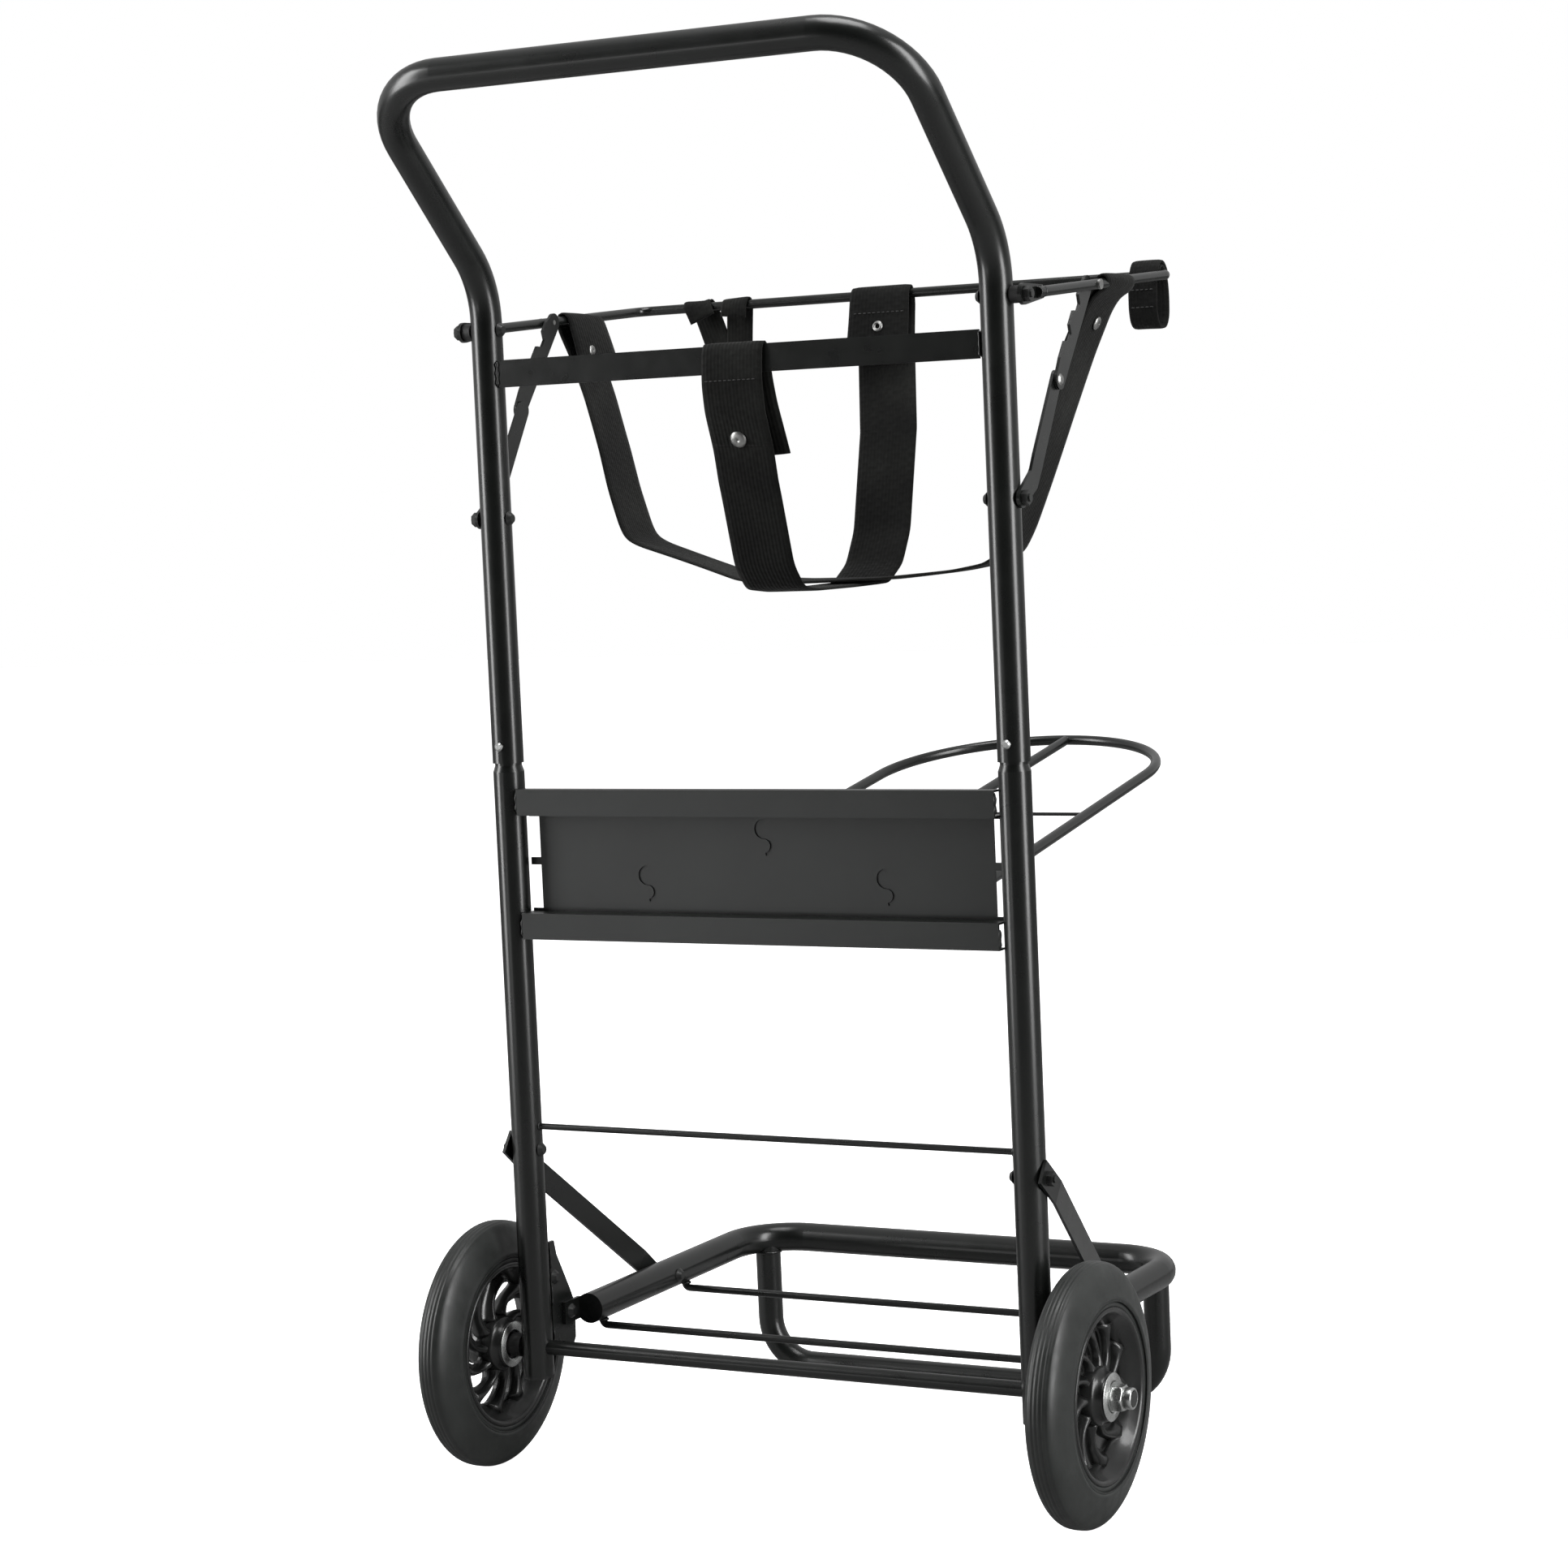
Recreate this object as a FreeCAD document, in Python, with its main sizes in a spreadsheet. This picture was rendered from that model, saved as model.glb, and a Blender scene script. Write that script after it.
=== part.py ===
"""Folding game cart: steel tube frame on two wheels, with a load platform, a hinged rest loop and a strap sling.

Frame of the part: +X to the right seen from behind, +Y forwards over the platform, +Z up.
The origin is on the floor, under the middle of the whole outline. All sizes are in millimetres.
The parts are drawn about a point under the axle and moved together at the end.
"""
import FreeCAD, Part
import Sketcher
import math
import os

V = FreeCAD.Vector
RIGHT, FORWARD, UP = V(1, 0, 0), V(0, 1, 0), V(0, 0, 1)
SIDES = (("left", -1), ("right", 1))

# Driving dimensions: spreadsheet alias, value, what it is.
SIZES = [
    ("post_x", 222.0, "centre of each upright from the middle"),
    ("tube_r", 12.5, "outside radius of the main tube"),
    ("tube_wall", 1.5, "wall of the main tube"),
    ("post_bottom", 77.0, "lower end of the uprights"),
    ("joint_z", 577.0, "where the upper frame sits on the lower uprights"),
    ("spigot_r", 10.8, "outside radius of the swaged spigot"),
    ("spigot_top", 640.0, "top of the spigot"),
    ("bend_z", 958.0, "height where the handle bends back"),
    ("handle_y", -153.0, "centre of the handle bar, front to back"),
    ("handle_z", 1104.0, "centre height of the handle bar"),
    ("handle_corner_r", 65.0, "bend radius of the handle corners"),
    ("knee_r", 70.0, "bend radius where the handle leaves the uprights"),
    ("crossbar_z", 886.4, "centre height of the flat crossbar"),
    ("crossbar_tall", 21.5, "height of the flat crossbar"),
    ("crossbar_thick", 3.0, "thickness of the flat crossbar"),
    ("wire_z", 282.0, "height of the lower wire"),
    ("wire_r", 2.5, "radius of the lower wire"),
    ("panel_low", 436.5, "lower edge of the panel"),
    ("panel_high", 555.5, "upper edge of the panel"),
    ("panel_band", 19.5, "height of the panel's bands"),
    ("panel_recess", 18.5, "depth of the panel's recess"),
    ("sheet_t", 1.5, "thickness of the panel sheet"),
    ("axle_z", 100.0, "height of the axle"),
    ("axle_r", 6.0, "radius of the axle"),
    ("axle_half", 300.0, "half length of the axle"),
    ("wheel_x", 264.0, "middle of each wheel"),
    ("wheel_r", 100.0, "outside radius of the tyre"),
    ("tyre_half", 18.0, "half width of the tyre"),
    ("rim_r", 67.0, "radius where tyre and rim meet"),
    ("hub_r", 20.0, "outside radius of the hub"),
    ("bearing_r", 14.0, "outside radius of the wheel bearings"),
    ("bearing_wide", 8.0, "width of a wheel bearing"),
    ("run_gap", 0.05, "radial clearance of a running fit"),
    ("deck_x", 200.7, "centre of the platform's side tubes"),
    ("deck_y", 345.0, "centre of the platform's front tube"),
    ("deck_z", 122.0, "centre height of the platform tube"),
    ("deck_corner_r", 50.0, "bend radius of the platform's corners"),
    ("deck_rod_r", 3.0, "radius of the platform rods"),
    ("leg_x", 185.0, "centre of each stand leg"),
    ("leg_y", 331.0, "centre of the stand legs, front to back"),
    ("leg_r", 11.0, "outside radius of the stand tube"),
    ("leg_corner_r", 40.0, "bend radius of the stand's corners"),
    ("plate_t", 2.5, "thickness of brackets and stays"),
    ("brace_z", 263.0, "height of the deck brace's upper bolt"),
    ("brace_y", 177.0, "place of the deck brace's lower bolt"),
    ("bracket_bolt_z", 154.0, "height of the axle bracket's bolt"),
    ("bracket_bolt_y", 17.5, "place of the axle bracket's upper bolt"),
    ("deck_bolt_y", 36.0, "place of the platform's rear bolts"),
    ("bolt_r", 3.0, "radius of the through bolts"),
    ("head_r", 6.0, "radius of the bolt heads"),
    ("head_tall", 3.4, "height of a bolt head"),
    ("nut_tall", 4.5, "height of a bolt's nut"),
    ("arm_x", 246.0, "centre of each sling arm"),
    ("arm_z", 921.0, "height of the sling arm's pivot"),
    ("arm_tilt", 4.6, "rise of the sling arms, degrees"),
    ("arm_long", 288.0, "pivot to the sling's front rod"),
    ("arm_r", 4.0, "radius of the sling rod"),
    ("arm_corner_r", 14.0, "bend radius of the sling's corners"),
    ("stay_z", 772.0, "height of the sling stay's lower pivot"),
    ("stay_low", 112.2, "length of the lower stay link"),
    ("stay_wide", 15.0, "width of the stay links"),
    ("loop_y", 20.0, "hinge line of the rest loop, front to back"),
    ("loop_z", 448.7, "hinge line of the rest loop, height"),
    ("loop_tilt", 9.0, "rise of the rest loop, degrees"),
    ("loop_x", 130.0, "centre of the rest loop's side rods"),
    ("loop_long", 599.4, "hinge line to the tip of the rest loop"),
    ("loop_r", 4.5, "radius of the rest loop's rod"),
    ("loop_wire_y", 334.0, "hinge line to the rest loop's cross wire"),
    ("button_z", 590.6, "height of the snap buttons"),
    ("button_r", 3.5, "radius of a snap button"),
    ("belt_wide", 52.0, "width of the webbing belts"),
    ("belt_t", 2.6, "thickness of the webbing"),
    ("belt_y", 175.0, "centre of the cross belt, front to back"),
    ("stay_on_arm", 130.4, "sling arm's pivot to the stay's upper rivet"),
    ("axle_y", -225.3, "place of the axle once the whole cart is centred on its footprint"),
]
VALUES = {alias: value for alias, value, note in SIZES}


def size(alias):
    """Value of one driving dimension."""
    return VALUES[alias]


doc = FreeCAD.newDocument("game_cart")
sheet = doc.addObject("Spreadsheet::Sheet", "Sizes")
for row, (alias, value, note) in enumerate(SIZES, start=1):
    sheet.set("A%d" % row, note)
    sheet.set("B%d" % row, str(value))
    sheet.setAlias("B%d" % row, alias)
doc.recompute()

NODES = []


def node(obj, label):
    """Mark an object as a sub-part that is written to its own file."""
    obj.Label = label
    NODES.append(obj)
    return obj


def turned(axis):
    """Rotation that takes the local Z axis to the given direction."""
    return FreeCAD.Rotation(UP, axis)


def cylinder(name, radius, height, base, axis):
    """Cylinder whose radius and height are expressions on the sheet."""
    rod = doc.addObject("Part::Cylinder", name)
    rod.setExpression("Radius", radius)
    rod.setExpression("Height", height)
    rod.Placement = FreeCAD.Placement(base, turned(axis))
    return rod


def cut(name, base, tool):
    """One shape less another."""
    result = doc.addObject("Part::Cut", name)
    result.Base = base
    result.Tool = tool
    return result


def ring(name, outer, inner, width, base, axis):
    """Round ring or sleeve."""
    body = cylinder(name + "_outside", outer, width, base, axis)
    bore = cylinder(name + "_bore", inner, width, base, axis)
    return cut(name, body, bore)


def join(name, shapes):
    """Several shapes made one solid."""
    result = doc.addObject("Part::MultiFuse", name)
    result.Shapes = shapes
    return result


def group(name, shapes):
    """Identical fasteners kept as separate solids in one sub-part."""
    result = doc.addObject("Part::Compound", name)
    result.Links = shapes
    return result


def body_plane(body, role):
    """One of the body's own origin planes."""
    return [item for item in body.Origin.OriginFeatures if item.Role == role][0]


def new_body(name, placement=None):
    """Empty PartDesign body, placed if asked."""
    body = doc.addObject("PartDesign::Body", name)
    if placement is not None:
        body.Placement = placement
    return body


def new_sketch(body, role, offset=0.0):
    """Sketch on an origin plane of the body, moved along that plane's normal."""
    sketch = body.newObject("Sketcher::SketchObject", body.Name + "_sketch")
    sketch.AttachmentSupport = (body_plane(body, role), "")
    sketch.MapMode = "FlatFace"
    sketch.AttachmentOffset = FreeCAD.Placement(V(0, 0, offset), FreeCAD.Rotation())
    return sketch


def add_circle(sketch, centre, radius_expression):
    """Circle whose radius follows the sheet."""
    index = sketch.addGeometry(Part.Circle(V(centre[0], centre[1], 0), UP, 1.0), False)
    count = sketch.ConstraintCount
    sketch.addConstraint(Sketcher.Constraint("Radius", index, 1.0))
    sketch.setExpression("Constraints[%d]" % count, radius_expression)


def add_outline(sketch, points):
    """Closed outline of straight lines."""
    corners = [V(x, y, 0) for x, y in points]
    for start, end in zip(corners, corners[1:] + corners[:1]):
        sketch.addGeometry(Part.LineSegment(start, end), False)


def pad(body, sketch, length_expression, both_ways=False):
    """Pad of a sketch, its length from the sheet."""
    feature = body.newObject("PartDesign::Pad", body.Name + "_pad")
    feature.Profile = sketch
    feature.setExpression("Length", length_expression)
    if both_ways:
        feature.SideType = "Symmetric"
    return feature


def pocket_through(body, sketch):
    """Pocket that cuts right through the body, both ways from its sketch."""
    feature = body.newObject("PartDesign::Pocket", body.Name + "_pocket")
    feature.Profile = sketch
    feature.Type = "ThroughAll"
    feature.SideType = "Symmetric"
    return feature


def corner_path(points, radius):
    """Edges of a path with every inner corner rounded by a tangent arc."""
    path = [V(*point) for point in points]
    edges = []
    start = path[0]
    for before, corner, after in zip(path, path[1:], path[2:]):
        back = (before - corner).normalize()
        onward = (after - corner).normalize()
        half = back.getAngle(onward) / 2
        reach = radius / math.tan(half)
        enter = corner + back * reach
        leave = corner + onward * reach
        middle_way = (back + onward).normalize()
        middle = corner + middle_way * (radius / math.sin(half) - radius)
        edges.append(Part.LineSegment(start, enter))
        edges.append(Part.Arc(enter, middle, leave))
        start = leave
    edges.append(Part.LineSegment(start, path[-1]))
    return edges


def bent_rod(label, placement, points, bend, outer, inner=None):
    """Rod or tube bent in its body's XY plane, starting along the local +Y or -Y direction."""
    body = new_body(label, placement)
    path = new_sketch(body, "XY_Plane")
    for edge in corner_path([(x, y, 0) for x, y in points], bend):
        path.addGeometry(edge, False)
    section = new_sketch(body, "XZ_Plane", -points[0][1])
    add_circle(section, (points[0][0], 0), outer)
    if inner:
        add_circle(section, (points[0][0], 0), inner)
    sweep = body.newObject("PartDesign::AdditivePipe", label + "_sweep")
    sweep.Profile = section
    doc.recompute()
    sweep.Spine = (path, ["Edge%d" % (index + 1) for index in range(path.GeometryCount)])
    return body


def strip_outline(points, thickness):
    """Outline of a strip of even thickness about a bent centre line."""
    line = [V(x, y, 0) for x, y in points]
    runs = [(end - start).normalize() for start, end in zip(line, line[1:])]
    runs = [runs[0]] + runs + [runs[-1]]
    left, right = [], []
    for point, before, after in zip(line, runs, runs[1:]):
        across = UP.cross(before + after).normalize()
        reach = thickness / 2 / across.dot(UP.cross(after))
        left.append(point + across * reach)
        right.append(point - across * reach)
    return [(p.x, p.y) for p in left + right[::-1]]


def strip(label, placement, role, points, thickness, width_expression):
    """Flat strip bent along a line drawn on one origin plane."""
    body = new_body(label, placement)
    sketch = new_sketch(body, role)
    add_outline(sketch, strip_outline(points, thickness))
    pad(body, sketch, width_expression, both_ways=True)
    return body


def hole(body, role, centre, radius_expression, offset=0.0):
    """Round hole right through the body, square to one of its origin planes."""
    sketch = new_sketch(body, role, offset)
    add_circle(sketch, centre, radius_expression)
    pocket_through(body, sketch)


POST_IN = size("post_x") - size("tube_r")
POST_OUT = size("post_x") + size("tube_r")
PANEL_REAR = -10.8


# ---- uprights, handle and cross members ------------------------------------------------------------------

def lower_post(side, sign):
    """Lower upright: a tube with a swaged spigot at its top."""
    body = new_body("lower_post_" + side, FreeCAD.Placement(V(sign * size("post_x"), 0, 0), FreeCAD.Rotation()))
    outside, inside = size("tube_r"), size("tube_r") - size("tube_wall")
    neck, bore = size("spigot_r"), size("spigot_r") - size("tube_wall")
    swage = size("joint_z") - 7
    sketch = new_sketch(body, "XZ_Plane")
    add_outline(sketch, [
        (inside, size("post_bottom")), (outside, size("post_bottom")), (outside, swage), (neck, swage + 5),
        (neck, size("spigot_top")), (bore, size("spigot_top")), (bore, swage + 5), (inside, swage),
    ])
    turn = body.newObject("PartDesign::Revolution", body.Name + "_turn")
    turn.Profile = sketch
    turn.ReferenceAxis = (sketch, ["V_Axis"])
    turn.Angle = 360
    for height, radius in (("axle_z", "axle_r"), ("brace_z", "bolt_r")):
        hole(body, "YZ_Plane", (0, size(height)), "Sizes." + radius)
    button = new_sketch(body, "XZ_Plane")
    add_circle(button, (0, size("button_z")), "Sizes.button_r + 0.3")
    opening = body.newObject("PartDesign::Pocket", body.Name + "_button_hole")
    opening.Profile = button
    opening.Type = "ThroughAll"
    opening.Reversed = True
    return node(body, "lower_post_" + side)


def upper_frame():
    """Upper frame: one tube up both sides, bent back at the top, and across as the handle."""
    across, bar_y, bar_z = size("post_x"), size("handle_y"), size("handle_z")
    foot, knee = size("joint_z"), size("bend_z")

    def path(half):
        corners = [V(-half, 0, foot), V(-half, 0, knee), V(-half, bar_y, bar_z)]
        corners += [V(half, bar_y, bar_z), V(half, 0, knee), V(half, 0, foot)]
        edges = []
        start = corners[0]
        radii = (size("knee_r"), size("handle_corner_r"), size("handle_corner_r"), size("knee_r"))
        for index, radius in enumerate(radii):
            piece = corner_path([start, corners[index + 1], corners[index + 2]], radius)
            edges += piece[:2]
            start = piece[2].StartPoint
        edges.append(Part.LineSegment(start, corners[-1]))
        return Part.Wire([edge.toShape() for edge in edges])

    def swept(radius):
        section = Part.Wire([Part.Circle(V(-across, 0, foot), UP, radius).toShape()])
        return path(across).makePipeShell([section], True, False)

    shape = swept(size("tube_r")).cut(swept(size("tube_r") - size("tube_wall")))
    for sign in (-1, 1):
        for height in (size("arm_z"), size("stay_z")):
            start = V(sign * size("post_x") - 20, 0, height)
            shape = shape.cut(Part.makeCylinder(size("bolt_r"), 40, start, RIGHT))
        start = V(sign * size("post_x"), 0, size("button_z"))
        shape = shape.cut(Part.makeCylinder(size("button_r") + 0.3, 20, start, FORWARD * -1))
    obj = doc.addObject("Part::Feature", "upper_frame")
    obj.Shape = shape
    obj.Placement = FreeCAD.Placement()
    return node(obj, "upper_frame")


def flat_crossbar():
    """Flat bar between the uprights, which carries the rear end of the sling."""
    bar = doc.addObject("Part::Box", "flat_crossbar")
    bar.setExpression("Length", "2 * (Sizes.post_x - Sizes.tube_r) - 1")
    bar.setExpression("Width", "Sizes.crossbar_thick")
    bar.setExpression("Height", "Sizes.crossbar_tall")
    corner = V(-POST_IN + 0.5, -6.5, size("crossbar_z") - size("crossbar_tall") / 2)
    bar.Placement = FreeCAD.Placement(corner, FreeCAD.Rotation())
    return node(bar, "flat_crossbar")


def lower_wire():
    """Thin wire welded between the uprights above the platform."""
    base = V(-POST_IN, 0, size("wire_z"))
    return node(cylinder("lower_wire", "Sizes.wire_r", "2 * (Sizes.post_x - Sizes.tube_r)", base, RIGHT), "lower_wire")


def s_groove(sketch, centre_x, centre_z):
    """Closed outline of a thin S: a half ring open to the right above one open to the left."""
    mean, half_band = 6.6, 1.2
    outer, inner = mean + half_band, mean - half_band

    def arc(centre, radius, start, turn):
        angles = [math.radians(start), math.radians(start + turn / 2), math.radians(start + turn)]
        places = [V(centre.x + radius * math.cos(a), centre.y + radius * math.sin(a), 0) for a in angles]
        sketch.addGeometry(Part.Arc(*places), False)
        return places[0], places[-1]

    upper = V(centre_x, centre_z + mean, 0)
    lower = V(centre_x, centre_z - mean, 0)
    top_outer = arc(upper, outer, 80, 190)
    low_inner = arc(lower, inner, 90, -170)
    low_outer = arc(lower, outer, 90, -170)
    top_inner = arc(upper, inner, 80, 190)
    sketch.addGeometry(Part.LineSegment(top_outer[0], top_inner[0]), False)
    sketch.addGeometry(Part.LineSegment(low_inner[1], low_outer[1]), False)


def panel():
    """Pressed panel between the uprights: two bands, a recess between them and three S shaped grooves."""
    low, high, band = size("panel_low"), size("panel_high"), size("panel_band")
    rear = PANEL_REAR
    front = rear + size("panel_recess")
    body = new_body("back_panel")
    sketch = new_sketch(body, "YZ_Plane")
    lip = 10.0
    centre_line = [
        (rear + lip, high), (rear, high), (rear, high - band), (front, high - band),
        (front, low + band), (rear, low + band), (rear, low), (rear + lip, low),
    ]
    add_outline(sketch, strip_outline(centre_line, size("sheet_t")))
    pad(body, sketch, "2 * (Sizes.post_x - Sizes.tube_r) - 0.4", both_ways=True)
    groove_floor = front - size("sheet_t") / 2 + 1.0
    grooves = new_sketch(body, "XZ_Plane", -groove_floor)
    for x, z in ((-102.3, 480.0), (3.7, 517.5), (108.0, 480.0)):
        s_groove(grooves, x, z)
    stamped = body.newObject("PartDesign::Pocket", "panel_grooves")
    stamped.Profile = grooves
    stamped.Length = size("panel_recess") / 2
    stamped.Reversed = True
    ends = new_sketch(body, "XZ_Plane")
    edge = POST_IN + 1
    for sign in (-1, 1):
        for z_low, z_high in ((low + band + 3, 494.0), (500.0, high - band - 3)):
            inner, outer = sign * 200.0, sign * edge
            add_outline(ends, [(inner, z_low), (outer, z_low), (outer, z_high), (inner, z_high)])
    pocket_through(body, ends)
    return node(body, "back_panel")


# ---- axle, wheels -------------------------------------------------------------------------------------------

def axle():
    """Steel axle through both uprights and both wheels."""
    base = V(-size("axle_half"), 0, size("axle_z"))
    return node(cylinder("axle", "Sizes.axle_r", "2 * Sizes.axle_half", base, RIGHT), "axle")


def axle_fittings():
    """Spacers inside the wheels, washers and nuts outside them."""
    hub_in = size("wheel_x") - size("tyre_half")
    hub_out = size("wheel_x") + size("tyre_half")
    gap = 0.3
    spacers, washers, nuts = [], [], []
    for side, sign in SIDES:
        away = V(sign, 0, 0)
        spacer_base = V(sign * POST_OUT, 0, size("axle_z"))
        width = "%.2f" % (hub_in - gap - POST_OUT)
        spacers.append(ring("spacer_" + side, "9.5", "Sizes.axle_r", width, spacer_base, away))
        washer_base = V(sign * (hub_out + gap), 0, size("axle_z"))
        washers.append(ring("washer_" + side, "11.5", "Sizes.axle_r", "2", washer_base, away))
        prism = doc.addObject("Part::Prism", "nut_blank_" + side)
        prism.Polygon = 6
        prism.Circumradius = 10.9
        prism.Height = 9
        prism.Placement = FreeCAD.Placement(washer_base + away * 2, turned(away))
        bore = cylinder("nut_bore_" + side, "Sizes.axle_r", "9", washer_base + away * 2, away)
        nuts.append(cut("nut_" + side, prism, bore))
    node(group("axle_spacers", spacers), "axle_spacers")
    node(group("axle_washers", washers), "axle_washers")
    node(group("axle_nuts", nuts), "axle_nuts")


def wheel_frame(sign):
    """Placement whose local Z runs outwards along the axle and whose origin is the wheel's middle."""
    return FreeCAD.Placement(V(sign * size("wheel_x"), 0, size("axle_z")), turned(V(sign, 0, 0)))


def revolved(body, points):
    """Turn a closed outline, drawn as (radius, height) points, about the body's Z axis."""
    sketch = new_sketch(body, "XZ_Plane")
    add_outline(sketch, points)
    turn = body.newObject("PartDesign::Revolution", body.Name + "_turn")
    turn.Profile = sketch
    turn.ReferenceAxis = (sketch, ["V_Axis"])
    turn.Angle = 360
    return turn


def tyre(side, sign):
    """Solid rubber tyre with a round crown and a low shoulder groove each side."""
    outer, inner, half = size("wheel_r"), size("rim_r"), size("tyre_half")
    body = new_body("tyre_" + side, wheel_frame(sign))
    sketch = new_sketch(body, "XZ_Plane")
    shoulder = outer - 9.0
    bead = 6.0
    sketch.addGeometry(Part.LineSegment(V(inner, -half + 1.5, 0), V(inner, half - 1.5, 0)), False)
    sketch.addGeometry(Part.LineSegment(V(inner, half - 1.5, 0), V(inner + bead, half - 1.5, 0)), False)
    sketch.addGeometry(Part.LineSegment(V(inner + bead, half - 1.5, 0), V(inner + bead + 2, half, 0)), False)
    sketch.addGeometry(Part.LineSegment(V(inner + bead + 2, half, 0), V(shoulder - 8, half, 0)), False)
    sketch.addGeometry(Part.Arc(V(shoulder - 8, half, 0), V(shoulder + 1.5, half - 4.2, 0), V(outer - 2.5, half - 9, 0)), False)
    sketch.addGeometry(Part.Arc(V(outer - 2.5, half - 9, 0), V(outer, 0, 0), V(outer - 2.5, -half + 9, 0)), False)
    sketch.addGeometry(Part.Arc(V(outer - 2.5, -half + 9, 0), V(shoulder + 1.5, -half + 4.2, 0), V(shoulder - 8, -half, 0)), False)
    sketch.addGeometry(Part.LineSegment(V(shoulder - 8, -half, 0), V(inner + bead + 2, -half, 0)), False)
    sketch.addGeometry(Part.LineSegment(V(inner + bead + 2, -half, 0), V(inner + bead, -half + 1.5, 0)), False)
    sketch.addGeometry(Part.LineSegment(V(inner + bead, -half + 1.5, 0), V(inner, -half + 1.5, 0)), False)
    turn = body.newObject("PartDesign::Revolution", body.Name + "_turn")
    turn.Profile = sketch
    turn.ReferenceAxis = (sketch, ["V_Axis"])
    turn.Angle = 360
    return node(body, "tyre_" + side)


def rim(side, sign):
    """Moulded rim: hub, bead ring and ten curved spokes."""
    body = new_body("rim_" + side, wheel_frame(sign))
    outer, hub, seat, half = size("rim_r"), size("hub_r"), size("bearing_r"), size("tyre_half")
    deep = size("bearing_wide")
    throat = outer - 8
    revolved(body, [
        (seat, -half), (hub, -half), (hub + 1, -3), (hub + 1, 3), (hub, half), (seat, half),
        (seat, half - deep), (seat - 4, half - deep), (seat - 4, -half + deep), (seat, -half + deep),
    ])
    revolved(body, [
        (throat, -4), (outer - 4, -half + 3), (outer, -half + 3),
        (outer, half - 3), (outer - 4, half - 3), (throat, 4),
    ])
    spoke = new_sketch(body, "XY_Plane")
    half_blade = 2.0
    start, end, bow = hub - 1, throat + 2, 6.0
    for shift in (-half_blade, half_blade):
        middle = V((start + end) / 2, shift + bow, 0)
        spoke.addGeometry(Part.Arc(V(start, shift, 0), middle, V(end, shift, 0)), False)
    for reach in (start, end):
        spoke.addGeometry(Part.LineSegment(V(reach, -half_blade, 0), V(reach, half_blade, 0)), False)
    blade = pad(body, spoke, "Sizes.tyre_half", both_ways=True)
    pattern = body.newObject("PartDesign::PolarPattern", body.Name + "_spokes")
    pattern.Originals = [blade]
    pattern.Axis = (spoke, ["N_Axis"])
    pattern.Angle = 360
    pattern.Occurrences = 10
    body.Tip = pattern
    return node(body, "rim_" + side)


def bearings(side, sign):
    """Two ball bearings pressed into the hub, as shielded rings."""
    rings = []
    away = V(sign, 0, 0)
    half, wide = size("tyre_half"), size("bearing_wide")
    for name, place in (("inner", -half), ("outer", half - wide)):
        base = V(sign * (size("wheel_x") + place), 0, size("axle_z"))
        label = "bearing_%s_%s" % (side, name)
        rings.append(ring(label, "Sizes.bearing_r", "Sizes.axle_r + Sizes.run_gap", "Sizes.bearing_wide", base, away))
    return node(group("bearings_" + side, rings), "bearings_" + side)


# ---- platform, stand and braces -------------------------------------------------------------------------

def post_plugs():
    """Plastic plugs in the lower ends of the uprights."""
    plugs = []
    for side, sign in SIDES:
        base = V(sign * size("post_x"), 0, size("post_bottom"))
        flange = cylinder("plug_flange_" + side, "Sizes.tube_r", "2", base, UP * -1)
        stem = cylinder("plug_stem_" + side, "Sizes.tube_r - Sizes.tube_wall", "12", base, UP)
        plugs.append(join("plug_" + side, [flange, stem]))
    node(group("post_plugs", plugs), "post_plugs")


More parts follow.
